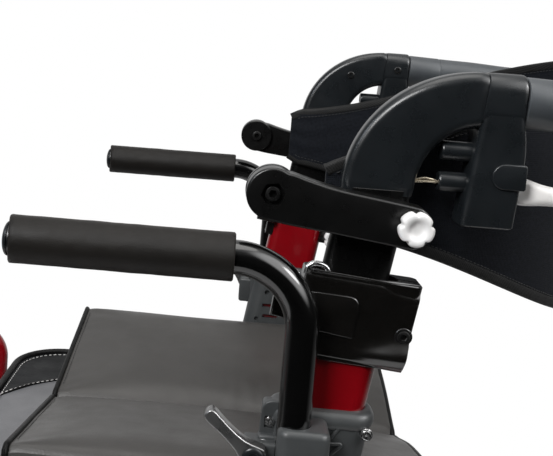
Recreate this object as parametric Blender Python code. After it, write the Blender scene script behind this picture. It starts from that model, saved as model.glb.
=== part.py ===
# Folding attendant-pushed wheelchair with telescoping handles, in metres, +Z up.
# The chair faces -X and its left side is -Y. The origin is on the floor under the middle.
import bpy
import bmesh
import math
from mathutils import Matrix, Vector

# clearances
GAP = 0.0003            # between pieces that touch
SLIDE_GAP = 0.0003      # around tubes that slide or turn in a socket

# overall sizes
POST_Y = 0.229          # half the distance between the two posts
SEAT_Z = 0.5390         # top of the seat at its outer edge
AXLE_X = 0.390          # rear axle, behind the middle
STEM_X = -0.246         # caster stem

# posts
POST_W = 0.066
POST_T = 0.026
INNER_W = 0.052
INNER_T = 0.019
POST_X = 0.261          # post axis at armrest height
POST_LEAN = math.radians(8.57)
POST_DROP = 0.020       # post top below the armrest axis
POST_SOCKET = 0.24      # depth of the hollow in the post
INNER_REACH = 0.19      # length of inner tube inside the post
HANDLE_LIFT = {"left": 0.0, "right": 0.018}   # the right handle is drawn out a little further

# armrests
ARM_RISE = 0.1900       # armrest axis above the seat edge
ARM_BACK = 0.041        # armrest upright ahead of the post axis
ARM_OUT = 0.033         # armrest outboard of the post
ARM_R = 0.0127
ARM_BEND = 0.0530
ARM_REACH = 0.2267      # upright to front end
FOAM_R = 0.0175
FOAM_FRONT = 0.2227
FOAM_REAR = 0.0536
SOCKET_DROP = 0.1215    # armrest axis to top of its socket
SOCKET_DEPTH = 0.039
SOCKET_H = 0.060
SOCKET_WALL = 0.0055

# handle
ELBOW_RISE = 0.054      # armrest axis to the underside of the elbow
ELBOW_INNER = 0.0513    # underside of the elbow to the underside of the handle
ELBOW_RUN = 0.071       # tube axis to the elbow's rear end
ELBOW_LIP = 0.001       # elbow wider than the tube
ELBOW_T1 = 0.032
HANDLE_D = 0.041
COLLAR_L = 0.0273
COLLAR_T = 0.034
GRIP_L = 0.140
GRIP_R = 0.0180
GRIP_SLOPE = math.radians(2.3)
HOUSING_H = 0.0725      # below the handle's underside
HOUSING_W = 0.0415
HOUSING_T = 0.031
LEVER_L = 0.133
LEVER_T = 0.009
LEVER_DROP = 0.0395     # lever pivot below the handle's underside
LEVER_BACK = 0.0165     # lever pivot ahead of the housing's rear face
BARREL_R = 0.0075
BARREL_DROP = 0.0187    # upper barrel below the handle's underside
BARREL_STEP = 0.0232    # upper barrel to lower barrel
BARREL_L = 0.0186
CABLE_R = 0.0025
CABLE_IN = 0.006        # how far the cable goes into the elbow
CABLE_DROP = 0.002

# backrest arm and knob
BOSS_AHEAD = 0.0704     # boss ahead of the post axis at armrest height
BOSS_RISE = 0.0477
BOSS_R = 0.0195
BONE_L = 0.104          # boss to knob
BONE_TILT = math.radians(8.6)
BONE_T = 0.0205
KNOB_R = 0.0130
KNOB_T = 0.014
KNOB_LOBES = 5
KNOB_TURN = math.radians(56.0)  # where one lobe points

# backrest band
BAND_X0 = -0.029        # front end of the band from the post axis
BAND_BACK = 0.268       # how far the band bulges behind its front end
BAND_FLAT = 0.045       # part that lies along the tube
BAND_T = 0.007
BAND_H0 = 0.033         # half heights at the arm and at the middle
BAND_H1 = 0.120
BAND_Z = 0.0520         # band middle above the armrest axis, at the arm
BAND_DROP = 0.0060
BAND_SIDE = 0.0005      # from the band's end to the tube

# post bracket
BRACKET_WALL = 0.0022
BRACKET_DROP = 0.0430   # bracket middle below the armrest axis
BRACKET_H = 0.0720
BRACKET_FLANGE = 0.0165 # flanges behind the post
BRACKET_SLIT = 0.0030
BRACKET_ROLL = 0.0085   # rolled lower corner
BRACKET_SHOW = 0.22     # share of its height, from the middle down, that the inner wall keeps

# seat hub
HUB_WALL = 0.006
HUB_TOP = 0.1165        # hub top below the armrest axis
HUB_RIM = 0.0022        # rim that stands out round the hub's top
HUB_RIM_H = 0.015
WING_L = 0.034          # block ahead of the post that carries the release lever
WING_TOP = 0.1133       # its top below the armrest axis
LUG_L = 0.050

# seat
SEAT_FRONT = -0.011
SEAT_DEPTH = 0.363
SEAT_THICK = 0.0442
SEAT_CROWN = 0.013
SEAT_TILT = math.radians(10.5)
SEAT_SIDE = 0.0006      # from the cushion to the hub
SEAT_PULL = 0.004       # how far the sides draw in
FOLD_GAP = 0.0006

# seat rails and cross brace
SEAT_RAIL_R = 0.011
SEAT_RAIL_IN = 0.039    # inboard of the post
SEAT_RAIL_END = 0.008   # ahead of the cushion's rear edge
LEG_BACK = 0.022        # front leg behind the seat's front edge
LEG_BEND = 0.024
LEG_FOOT = 0.060        # height of the leg's straight foot
RING_WALL = 0.0057
BRACE_W = 0.022
BRACE_H = 0.024
BRACE_ANGLE = math.radians(28.0)
BRACE_X = 0.140
BRACE_SPACE = 0.002
BRACE_PIN_R = 0.007

# side frame
RAIL_Z = 0.310
RAIL_H = 0.036
RAIL_T = 0.024
ARCH_SPAN = 0.110
ARCH_W = 0.036
ARCH_T = 0.024
ARCH_BEND = 0.027       # bend radius at the tube's axis
ARCH_OVER = 0.0245      # arch top above the seat rail axis
ARCH_FOOT = 0.262       # lower end of the arch's front leg

# rear wheel and axle plate
REAR_R = 0.150
REAR_TYRE_W = 0.030
REAR_RIM_R = 0.122
REAR_OUT = 0.061        # wheel middle outboard of the post
AXLE_R = 0.008
PLATE_T = 0.014
HUB_R = 0.022

# caster
CASTER_R = 0.095
CASTER_W = 0.028
CASTER_RIM_R = 0.0697
CASTER_TRAIL = 0.040
CASTER_HUB_W = 0.033
FORK_T = 0.004
FORK_SPACE = 0.003      # wheel hub to fork leg
CROWN_R = 0.024
CROWN_Z = 0.205
CASTER_AXLE_R = 0.005

# brake shoe
SHOE_GAP = 0.004
SHOE_T = 0.014
SHOE_L = 0.030
SHOE_AT = math.radians(135.0)

# footrest
HANGER_R = 0.010
PIVOT_R = 0.011
PLATE_FRONT = 0.2647    # ahead of the hanger's pivot
PLATE_LEN = 0.140
PLATE_IN = 0.104        # inboard of the post
PLATE_Z = 0.105
PLATE_H = 0.010

# release lever
REL_AHEAD = 0.0285
REL_DROP = 0.149
REL_LEN = 0.049
REL_ANGLE = math.radians(138.6)
REL_T = 0.0115

# pouch
POUCH_DEEP = 0.0735
POUCH_HALF = 0.184
POUCH_TOP = 0.0585      # below the seat edge
POUCH_H = 0.182

# derived places
ARM_Z = SEAT_Z + ARM_RISE
ARM_X = POST_X - ARM_BACK
ARM_Y = POST_Y + ARM_OUT
RAIL_TOP = RAIL_Z + RAIL_H / 2
POST_TOP = ARM_Z - POST_DROP
SR_Y = POST_Y - SEAT_RAIL_IN
RING_R = SEAT_RAIL_R + SLIDE_GAP + RING_WALL
SEAT_HALF = POST_Y - POST_T / 2 - HUB_WALL - HUB_RIM - SEAT_SIDE
SEAT_BASE_EDGE = SEAT_Z - SEAT_THICK
SEAT_OVER_RAIL = (RING_R + GAP) / math.cos(SEAT_TILT)
SR_Z = SEAT_BASE_EDGE - (SEAT_HALF - SR_Y) * math.tan(SEAT_TILT) - SEAT_OVER_RAIL
ELBOW_Z = ARM_Z + ELBOW_RISE
HANDLE_UNDER = ELBOW_Z + ELBOW_INNER
HANDLE_Z = HANDLE_UNDER + HANDLE_D / 2
WHEEL_Y = POST_Y + REAR_OUT


def post_x(z):
    return POST_X + (z - ARM_Z) * math.tan(POST_LEAN)


SEAM_X = post_x(ELBOW_Z) + ELBOW_RUN
COLLAR_END = SEAM_X + GAP + COLLAR_L
HOUSING_REAR = COLLAR_END + 0.0060
LEVER_X = HOUSING_REAR - LEVER_BACK
LEVER_Z = HANDLE_UNDER - LEVER_DROP
BOSS_X = POST_X - BOSS_AHEAD
BOSS_Z = ARM_Z + BOSS_RISE
KNOB_X = BOSS_X + BONE_L * math.cos(BONE_TILT)
KNOB_Z = BOSS_Z - BONE_L * math.sin(BONE_TILT)
BONE_IN = POST_Y + INNER_T / 2 + GAP
BAND_Y = POST_Y - INNER_T / 2 - BAND_SIDE - BAND_T * 0.375
PIVOT_X = STEM_X - ARCH_W / 2 - GAP - PIVOT_R
REL_X = ARM_X - REL_AHEAD
REL_Z = ARM_Z - REL_DROP
CASTER_X = STEM_X + CASTER_TRAIL
BRACE_LEN = 2 * SR_Y / math.cos(BRACE_ANGLE)

COLORS = {
    "red": ((0.42, 0.012, 0.022, 1), 0.22, 0.7),
    "gloss_black": ((0.012, 0.012, 0.013, 1), 0.12, 0.0),
    "satin_black": ((0.02, 0.02, 0.021, 1), 0.42, 0.0),
    "grey_plastic": ((0.16, 0.16, 0.165, 1), 0.5, 0.0),
    "foam": ((0.035, 0.033, 0.032, 1), 0.9, 0.0),
    "rubber": ((0.025, 0.025, 0.026, 1), 0.75, 0.0),
    "white": ((0.80, 0.79, 0.75, 1), 0.4, 0.0),
    "leatherette": ((0.045, 0.043, 0.043, 1), 0.6, 0.0),
    "mesh_fabric": ((0.014, 0.015, 0.022, 1), 0.85, 0.0),
    "cable": ((0.55, 0.53, 0.48, 1), 0.35, 0.6),
}

for old in list(bpy.data.objects):
    bpy.data.objects.remove(old, do_unlink=True)
for old in list(bpy.data.meshes):
    bpy.data.meshes.remove(old)


def material(name, key):
    color, rough, metal = COLORS[key]
    mat = bpy.data.materials.new(name)
    mat.use_nodes = True
    bsdf = mat.node_tree.nodes["Principled BSDF"]
    bsdf.inputs["Base Color"].default_value = color
    bsdf.inputs["Roughness"].default_value = rough
    bsdf.inputs["Metallic"].default_value = metal
    mat.diffuse_color = color
    return mat


def empty(name, at, parent=None):
    obj = bpy.data.objects.new(name, None)
    bpy.context.scene.collection.objects.link(obj)
    obj.empty_display_size = 0.03
    obj.location = at
    if parent is not None:
        obj.parent = parent
        obj.location = Vector(at) - parent.matrix_world.translation
    bpy.context.view_layer.update()
    return obj


def rounded(w, h, r, seg=3):
    """Points of a rounded rectangle, counter-clockwise."""
    pts = []
    r = min(r, w / 2 - 1e-6, h / 2 - 1e-6)
    for cx, cy, a0 in ((1, 1, 0), (-1, 1, 90), (-1, -1, 180), (1, -1, 270)):
        for i in range(seg + 1):
            a = math.radians(a0 + 90 * i / seg)
            pts.append((cx * (w / 2 - r) + r * math.cos(a), cy * (h / 2 - r) + r * math.sin(a)))
    return pts


def oval(w, t, seg=5):
    return rounded(w, t, min(w, t) / 2, seg)


def circle(r, seg):
    return [(r * math.cos(2 * math.pi * i / seg), r * math.sin(2 * math.pi * i / seg)) for i in range(seg)]


def loft(sections, ring=False):
    """A closed body through loops of points. With ring, the last loop joins the first."""
    bm = bmesh.new()
    loops = [[bm.verts.new(p) for p in sec] for sec in sections]
    pairs = list(zip(loops, loops[1:]))
    if ring:
        pairs.append((loops[-1], loops[0]))
    for a, b in pairs:
        n = len(a)
        for i in range(n):
            bm.faces.new((a[i], a[(i + 1) % n], b[(i + 1) % n], b[i]))
    if not ring:
        bm.faces.new(loops[0])
        bm.faces.new(list(reversed(loops[-1])))
    bmesh.ops.recalc_face_normals(bm, faces=bm.faces)
    return bm


def box(x0, x1, y0, y1, z0, z1, r=0.0, seg=2):
    """A box with its vertical edges rounded."""
    if r <= 0:
        flat = [(x0, y0), (x1, y0), (x1, y1), (x0, y1)]
    else:
        cx, cy = (x0 + x1) / 2, (y0 + y1) / 2
        flat = [(cx + a, cy + b) for a, b in rounded(x1 - x0, y1 - y0, r, seg)]
    return loft([[Vector((x, y, z)) for x, y in flat] for z in (z0, z1)])


def plate(outline, y0, y1, bevel=0.0):
    """An outline in the XZ plane, thickened along Y, with its outer rim eased."""
    secs = []
    if bevel > 0:
        inset = []
        n = len(outline)
        for i, (x, z) in enumerate(outline):
            ax, az = outline[i - 1]
            bx, bz = outline[(i + 1) % n]
            tx, tz = bx - ax, bz - az
            length = math.hypot(tx, tz)
            nx, nz = -tz / length, tx / length
            inset.append((x + nx * bevel, z + nz * bevel))
        secs.append([Vector((x, y0, z)) for x, z in outline])
        secs.append([Vector((x, y1 - bevel, z)) for x, z in outline])
        secs.append([Vector((x, y1, z)) for x, z in inset])
    else:
        secs = [[Vector((x, y, z)) for x, z in outline] for y in (y0, y1)]
    return loft(secs)


def tube_y(x, z, r, y0, y1, seg=20):
    return loft([[Vector((x + a, y, z + b)) for a, b in circle(r, seg)] for y in (y0, y1)])


def tube_x(y, z, r, x0, x1, seg=16):
    return loft([[Vector((x, y + a, z + b)) for a, b in circle(r, seg)] for x in (x0, x1)])


def tube_z(x, y, r, z0, z1, seg=20):
    return loft([[Vector((x + a, y + b, z)) for a, b in circle(r, seg)] for z in (z0, z1)])


def lathe_y(profile, x, y, z, seg=32):
    """A ring turned about an axis along Y: profile holds (radius, offset along Y)."""
    secs = []
    for i in range(seg):
        a = 2 * math.pi * i / seg - math.pi / 2
        secs.append([Vector((x + r * math.cos(a), y + o, z + r * math.sin(a))) for r, o in profile])
    return loft(secs, ring=True)


def lean_loop(w, t, z, seg=5):
    return [Vector((post_x(z) + a, POST_Y + b, z)) for a, b in oval(w, t, seg)]


def fillet_path(points, radius, steps=5):
    """A path with its corners rounded."""
    pts = [Vector(p) for p in points]
    out = [pts[0]]
    for a, b, c in zip(pts, pts[1:], pts[2:]):
        u, v = (a - b).normalized(), (c - b).normalized()
        half = u.angle(v) / 2
        cut = radius / math.tan(half)
        mid = b + (u + v).normalized() * (radius / math.sin(half))
        p, q = b + u * cut, b + v * cut
        for i in range(steps + 1):
            w = (p - mid).slerp(q - mid, i / steps)
            out.append(mid + w.normalized() * radius)
    out.append(pts[-1])
    return out


def sweep(path, profile, side=Vector((0, 1, 0)), scale=None):
    """A tube along a path. The profile's second direction stays along side where it can."""
    secs = []
    n = len(path)
    for i, p in enumerate(path):
        t = (path[min(i + 1, n - 1)] - path[max(i - 1, 0)]).normalized()
        s = (side - t * side.dot(t)).normalized()
        w = s.cross(t).normalized()
        k = 1.0 if scale is None else scale[i]
        secs.append([p + w * (a * k) + s * (b * k) for a, b in profile])
    return loft(secs)


def spare(bm):
    mesh = bpy.data.meshes.new("spare")
    bm.to_mesh(mesh)
    bm.free()
    obj = bpy.data.objects.new("spare", mesh)
    bpy.context.scene.collection.objects.link(obj)
    return obj


def combine(base, steps):
    """Join or cut bodies one after another with exact Booleans, and return one body."""
    obj = spare(base)
    for op, bm in steps:
        other = spare(bm)
        mod = obj.modifiers.new("cut", "BOOLEAN")
        mod.operation = op
        mod.solver = "EXACT"
        mod.object = other
        bpy.context.view_layer.update()
        done = bpy.data.meshes.new_from_object(obj.evaluated_get(bpy.context.evaluated_depsgraph_get()))
        obj.modifiers.remove(mod)
        obj.data = done
        bpy.data.objects.remove(other, do_unlink=True)
    out = bmesh.new()
    out.from_mesh(obj.data)
    bpy.data.objects.remove(obj, do_unlink=True)
    bmesh.ops.remove_doubles(out, verts=out.verts, dist=0.00002)
    bmesh.ops.dissolve_limit(out, angle_limit=math.radians(0.6), verts=out.verts, edges=out.edges)
    return out


def piece(name, bm, key, side, pivot, parent):
    """Put a finished body in the scene, with its origin on its own axis."""
    if side < 0:
        bmesh.ops.transform(bm, matrix=Matrix.Diagonal((1, -1, 1, 1)), verts=bm.verts)
    pivot = Vector(pivot)
    bmesh.ops.translate(bm, vec=-pivot, verts=bm.verts)
    bmesh.ops.triangulate(bm, faces=[f for f in bm.faces if len(f.verts) > 4])
    bmesh.ops.recalc_face_normals(bm, faces=bm.faces)
    mesh = bpy.data.meshes.new(name)
    bm.to_mesh(mesh)
    bm.free()
    obj = bpy.data.objects.new(name, mesh)
    bpy.context.scene.collection.objects.link(obj)
    obj.parent = parent
    obj.location = pivot - parent.matrix_world.translation
    mesh.materials.append(material(name + "_mat", key))
    for poly in mesh.polygons:
        poly.use_smooth = True
    mesh.set_sharp_from_angle(angle=math.radians(38))
    return obj


def make_post():
    inner = (INNER_W + 2 * SLIDE_GAP, INNER_T + 2 * SLIDE_GAP)
    return loft([
        lean_loop(POST_W, POST_T, RAIL_TOP + GAP),
        lean_loop(POST_W, POST_T, POST_TOP),
        lean_loop(*inner, POST_TOP),
        lean_loop(*inner, POST_TOP - POST_SOCKET),
    ])


def make_rail():
    x0 = STEM_X + ARCH_SPAN - ARCH_W / 2
    x1 = AXLE_X - 0.020
    flat = rounded(RAIL_T, RAIL_H, 0.009, 3)
    return loft([[Vector((x, POST_Y + a, RAIL_Z + b)) for a, b in flat] for x in (x0, x1)])


def make_arch():
    x0, x1 = STEM_X + ARCH_SPAN, STEM_X
    top = SR_Z + ARCH_OVER - ARCH_W / 2
    path = fillet_path([
        (x0, POST_Y, RAIL_TOP + GAP), (x0, POST_Y, top), (x1, POST_Y, top), (x1, POST_Y, ARCH_FOOT),
    ], ARCH_BEND, 5)
    return sweep(path, oval(ARCH_W, ARCH_T, 3))


def make_hub():
    top = ARM_Z - HUB_TOP
    low = SR_Z - RING_R
    socket_top = ARM_Z - SOCKET_DROP
    r = ARM_R + SLIDE_GAP + SOCKET_WALL
    body = loft([lean_loop(POST_W + 2 * HUB_WALL, POST_T + 2 * HUB_WALL, z) for z in (low, top)])
    lug_x = post_x(SR_Z)
    lug_top = SR_Z + SEAT_OVER_RAIL - RING_R * math.tan(SEAT_TILT) - GAP
    lug = box(lug_x - LUG_L / 2, lug_x + LUG_L / 2, SR_Y - RING_R, POST_Y - POST_T / 2, low, lug_top, 0.006)
    socket = box(ARM_X - ARM_R - 0.0033, ARM_X + r + 0.0078, ARM_Y - r, ARM_Y + r,
                 socket_top - SOCKET_H, socket_top, 0.008, 3)
    tab_low = REL_Z - 0.026
    tab = box(REL_X - 0.009, ARM_X - 0.002, POST_Y + 0.008, ARM_Y - 0.004, tab_low, REL_Z + 0.009, 0.004)
    wing_x = post_x(ARM_Z - WING_TOP) - POST_W / 2
    wing = box(wing_x - WING_L + 0.0175, wing_x + 0.012, POST_Y - 0.008, POST_Y + 0.0155,
               tab_low, ARM_Z - WING_TOP, 0.006)
    rim_w = 2 * (HUB_WALL + HUB_RIM)
    rim = loft([lean_loop(POST_W + rim_w, POST_T + rim_w, z) for z in (top - HUB_RIM_H, top)])
    cut = (POST_W + 2 * GAP, POST_T + 2 * GAP)
    cavity = loft([lean_loop(*cut, z) for z in (low - 0.02, top + 0.02)])
    bore = tube_z(ARM_X, ARM_Y, ARM_R + SLIDE_GAP, socket_top - SOCKET_DEPTH, socket_top + 0.02, 24)
    rail = tube_x(SR_Y, SR_Z, SEAT_RAIL_R + SLIDE_GAP, lug_x - LUG_L, lug_x + LUG_L, 20)
    return combine(body, [
        ("UNION", rim), ("UNION", lug), ("UNION", socket), ("UNION", wing), ("UNION", tab),
        ("DIFFERENCE", cavity), ("DIFFERENCE", bore), ("DIFFERENCE", rail),
    ])


def make_seat_rail():
    """Tube under the seat's edge, with a front leg down to the side rail."""
    x1 = SEAT_FRONT + SEAT_DEPTH - SEAT_RAIL_END
    x0 = SEAT_FRONT + LEG_BACK
    path = fillet_path([
        (x1, SR_Y, SR_Z), (x0 + 0.012, SR_Y, SR_Z),
        (x0, POST_Y, RAIL_TOP + LEG_FOOT), (x0, POST_Y, RAIL_TOP + GAP),
    ], LEG_BEND, 4)
    return sweep(path, circle(SEAT_RAIL_R, 14), Vector((0.3, 0.9, 0.3)))


def make_bracket():
    """Clamp square to the post, open along a slit between its rear flanges."""
    axis = Vector((math.sin(POST_LEAN), 0, math.cos(POST_LEAN)))
    across = Vector((math.cos(POST_LEAN), 0, -math.sin(POST_LEAN)))
    z = ARM_Z - BRACKET_DROP
    mid = Vector((post_x(z), POST_Y, z))
    front = POST_W / 2 + BRACKET_WALL * 2.4
    width = front + POST_W / 2 + BRACKET_FLANGE
    half = POST_T / 2 + GAP + BRACKET_WALL
    shift = width / 2 - front
    secs = []
    for k in (-0.5, 0.5):
        c = mid + axis * (BRACKET_H * k) + across * shift
        secs.append([c + across * a + Vector((0, b, 0)) for a, b in rounded(width, 2 * half, 0.005, 3)])
    body = loft(secs)
    inn = (POST_W + 2 * GAP, POST_T + 2 * GAP)
    cavity = loft([lean_loop(*inn, z + d) for d in (-BRACKET_H, BRACKET_H)])
    roll_back = POST_W / 2 + BRACKET_FLANGE - BRACKET_ROLL * 1.4
    roll_at = mid + axis * (-BRACKET_H / 2 + BRACKET_ROLL * 0.9) + across * roll_back
    roll = tube_y(roll_at.x, roll_at.z, BRACKET_ROLL, POST_Y + half - 0.006, POST_Y + half + 0.0022, 16)
    rear = post_x(z) + POST_W / 2
    slit = box(rear - 0.004, rear + 0.06, POST_Y - BRACKET_SLIT / 2, POST_Y + BRACKET_SLIT / 2,
               z - BRACKET_H, z + BRACKET_H)
    secs = []
    for k in (-1.0, -BRACKET_SHOW):
        c = mid + axis * (BRACKET_H * k) + across * -0.0075
        loop = rounded(0.075, 0.008, 0.0005, 1)
        secs.append([c + across * a + Vector((0, b - half + 0.002, 0)) for a, b in loop])
    return combine(body, [
        ("UNION", roll), ("DIFFERENCE", cavity), ("DIFFERENCE", slit), ("DIFFERENCE", loft(secs)),
    ])


def make_axle_plate():
    top = RAIL_Z - RAIL_H / 2 - GAP
    z = REAR_R
    outline = []
    for i in range(9):
        a = math.radians(200 + 160 * i / 8)
        outline.append((AXLE_X + 0.022 * math.cos(a), z + 0.022 * math.sin(a)))
    outline += [(AXLE_X - 0.020, top), (AXLE_X - 0.100, top)]
    y0, y1 = POST_Y - PLATE_T / 2, POST_Y + PLATE_T / 2
    stub = tube_y(AXLE_X, z, AXLE_R, y1 - 0.004, WHEEL_Y + 0.010, 18)
    return combine(plate(outline, y0, y1), [("UNION", stub)])


def make_rear_rim():
    b = AXLE_R + SLIDE_GAP
    i0 = POST_Y + PLATE_T / 2 + GAP - WHEEL_Y
    w = REAR_TYRE_W / 2
    prof = [
        (b, i0), (HUB_R, i0), (HUB_R, -0.004), (REAR_RIM_R - 0.017, -0.004), (REAR_RIM_R - 0.014, -w + 0.003),
        (REAR_RIM_R, -w + 0.003), (REAR_RIM_R, w - 0.003), (REAR_RIM_R - 0.014, w - 0.003),
        (REAR_RIM_R - 0.017, 0.004), (HUB_R, 0.004), (HUB_R, w - 0.002), (b, w - 0.002),
    ]
    return lathe_y(prof, AXLE_X, WHEEL_Y, REAR_R, 28)


def tyre_profile(r0, r1, w):
    h = r1 - r0
    return [
        (r0, -w * 0.84), (r0, w * 0.84), (r0 + h * 0.30, w), (r0 + h * 0.60, w), (r0 + h * 0.86, w * 0.68),
        (r1, w * 0.28), (r1, -w * 0.28), (r0 + h * 0.86, -w * 0.68), (r0 + h * 0.60, -w), (r0 + h * 0.30, -w),
    ]


def make_rear_tyre():
    return lathe_y(tyre_profile(REAR_RIM_R + GAP, REAR_R, REAR_TYRE_W / 2), AXLE_X, WHEEL_Y, REAR_R, 28)


def make_caster_rim():
    b = CASTER_AXLE_R + SLIDE_GAP
    hw, w = CASTER_HUB_W / 2, CASTER_W / 2
    r = CASTER_RIM_R
    prof = [
        (b, -hw), (0.016, -hw), (0.018, -0.004), (r - 0.014, -0.004),
        (r - 0.011, -w + 0.003), (r, -w + 0.003), (r, w - 0.003), (r - 0.011, w - 0.003),
        (r - 0.014, 0.004), (0.018, 0.004), (0.016, hw), (b, hw),
    ]
    return lathe_y(prof, CASTER_X, POST_Y, CASTER_R, 24)


def make_caster_tyre():
    return lathe_y(tyre_profile(CASTER_RIM_R + GAP, CASTER_R, CASTER_W / 2), CASTER_X, POST_Y, CASTER_R, 24)


def make_fork():
    top = ARCH_FOOT - GAP
    inner = CASTER_HUB_W / 2 + FORK_SPACE
    outer = inner + FORK_T
    crown = tube_z(STEM_X, POST_Y, CROWN_R, CROWN_Z, top, 24)
    steps = []
    leg = []
    for i in range(9):
        a = math.radians(170 + 200 * i / 8)
        leg.append((CASTER_X + 0.012 * math.cos(a), CASTER_R + 0.012 * math.sin(a)))
    leg += [(STEM_X + 0.019, CROWN_Z + 0.022), (STEM_X - 0.019, CROWN_Z + 0.022)]
    leg += [(STEM_X - 0.019, CROWN_Z + 0.002)]
    for s in (-1, 1):
        y0, y1 = sorted((POST_Y + s * inner, POST_Y + s * outer))
        steps.append(("UNION", plate(leg, y0, y1)))
    steps.append(("UNION", box(STEM_X - 0.019, STEM_X + 0.019, POST_Y - outer, POST_Y + outer,
                               CROWN_Z + 0.001, CROWN_Z + 0.021)))
    pin = tube_y(CASTER_X, CASTER_R, CASTER_AXLE_R, POST_Y - outer + 0.001, POST_Y + outer - 0.001, 14)
    steps.append(("UNION", pin))
    return combine(crown, steps)


def make_shoe():
    ca, sa = math.cos(SHOE_AT), math.sin(SHOE_AT)
    r0 = REAR_R + SHOE_GAP
    y0 = POST_Y + RAIL_T / 2 + GAP
    y1 = WHEEL_Y + REAR_TYRE_W / 2 - 0.003
    px, pz = shoe_pivot()
    pad = []
    for rr, tt in ((r0, -0.5), (r0, 0.5), (r0 + SHOE_T, 0.5), (r0 + SHOE_T, -0.5)):
        pad.append((AXLE_X + rr * ca - tt * SHOE_L * sa, REAR_R + rr * sa + tt * SHOE_L * ca))
    mx = AXLE_X + (r0 + SHOE_T * 0.6) * ca
    mz = REAR_R + (r0 + SHOE_T * 0.6) * sa
    ux, uz = mx - px, mz - pz
    n = math.hypot(ux, uz)
    ux, uz = ux / n, uz / n
    arm = []
    for i in range(7):
        a = math.atan2(uz, ux) + math.pi / 2 + math.pi * i / 6
        arm.append((px + 0.009 * math.cos(a), pz + 0.009 * math.sin(a)))
    arm += [(mx + uz * 0.006, mz - ux * 0.006), (mx - uz * 0.006, mz + ux * 0.006)]
    return combine(plate(pad, y0, y1), [("UNION", plate(arm, y0, y0 + 0.010))])


def shoe_pivot():
    r = REAR_R + SHOE_GAP + SHOE_T / 2 + 0.036
    a = SHOE_AT - math.radians(6)
    return AXLE_X + r * math.cos(a) - 0.012, RAIL_Z


def make_inner_tube(up):
    z1 = ELBOW_Z + up.z - GAP
    z0 = POST_TOP - INNER_REACH
    return loft([lean_loop(INNER_W, INNER_T, z) for z in (z0, z1)])


def make_elbow():
    c = post_x(ELBOW_Z)
    half = INNER_W / 2 + ELBOW_LIP
    ao, bo = SEAM_X - (c - half), ELBOW_INNER + HANDLE_D
    ai, bi = SEAM_X - (c + half), ELBOW_INNER
    secs = []
    n = 9
    for i in range(n + 1):
        t = math.pi / 2 * i / n
        o = Vector((SEAM_X - ao * math.cos(t), POST_Y, ELBOW_Z + bo * math.sin(t)))
        q = Vector((SEAM_X - ai * math.cos(t), POST_Y, ELBOW_Z + bi * math.sin(t)))
        k = i / n
        k = (k * k * (3 - 2 * k)) ** 2
        lat = INNER_T + (ELBOW_T1 - INNER_T) * k
        length = (o - q).length
        e = (o - q).normalized()
        mid = (o + q) / 2
        secs.append([mid + e * a + Vector((0, b, 0)) for a, b in rounded(length, lat, 0.010, 3)])
    a, b = cable_line()
    hole = sweep([a, b + (b - a).normalized() * GAP], circle(CABLE_R + SLIDE_GAP, 10))
    return combine(loft(secs), [("DIFFERENCE", hole)])


def make_grip():
    x0 = COLLAR_END + GAP + GRIP_R * 1.12 * math.tan(GRIP_SLOPE)
    rs = ((0.0, 1.08), (0.03, 1.08), (0.05, 0.96), (0.25, 0.95), (0.5, 1.03), (0.75, 0.97), (0.92, 0.95),
          (0.945, 1.10), (0.98, 1.10), (1.0, 0.85))
    d = Vector((math.cos(GRIP_SLOPE), 0, -math.sin(GRIP_SLOPE)))
    up = Vector((math.sin(GRIP_SLOPE), 0, math.cos(GRIP_SLOPE)))
    start = Vector((x0, POST_Y, HANDLE_Z))
    secs = []
    for f, k in rs:
        p = start + d * (GRIP_L * f)
        secs.append([p + up * a + Vector((0, b, 0)) for a, b in circle(GRIP_R * k, 20)])
    return loft(secs)


def make_housing():
    x0 = SEAM_X + GAP
    secs = []
    for x, k in ((x0, 0.97), (x0 + 0.003, 1.02), (COLLAR_END - 0.003, 1.02), (COLLAR_END, 0.97)):
        flat = rounded(HANDLE_D, COLLAR_T, 0.013, 3)
        secs.append([Vector((x, POST_Y + b * k, HANDLE_Z + a * k)) for a, b in flat])
    collar = loft(secs)
    low = HANDLE_UNDER - HOUSING_H
    front = HOUSING_REAR - HOUSING_W
    secs = []
    neck = SEAM_X + 2 * GAP - front
    under = HANDLE_UNDER
    for z, a, b, t in ((low, 0.004, 0.004, 0.88), (low + 0.005, 0, 0, 1.0), (under - 0.018, 0, 0, 1.0),
                       (under - 0.002, neck, 0.008, 0.9), (HANDLE_Z - 0.010, neck, 0.009, 0.86)):
        w = HOUSING_W - a - b
        cx = front + a + w / 2
        secs.append([Vector((cx + p, POST_Y + q * t, z)) for p, q in rounded(w, HOUSING_T, 0.008, 3)])
    body = loft(secs)
    steps = [("UNION", body)]
    for z in barrel_heights():
        steps.append(("UNION", tube_x(POST_Y, z, BARREL_R, front - BARREL_L, front + 0.006, 14)))
    tab = tube_y(LEVER_X, LEVER_Z + 0.006, 0.0125, POST_Y, POST_Y + HOUSING_T / 2 + 0.003, 18)
    steps.append(("UNION", tab))
    h = LEVER_T / 2 + GAP
    steps.append(("DIFFERENCE", box(LEVER_X - 0.011, HOUSING_REAR + 0.02, POST_Y - h, POST_Y + h,
                                    LEVER_Z - 0.028, LEVER_Z + 0.026)))
    return combine(collar, steps)


def barrel_heights():
    high = HANDLE_UNDER - BARREL_DROP
    return high, high - BARREL_STEP


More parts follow.
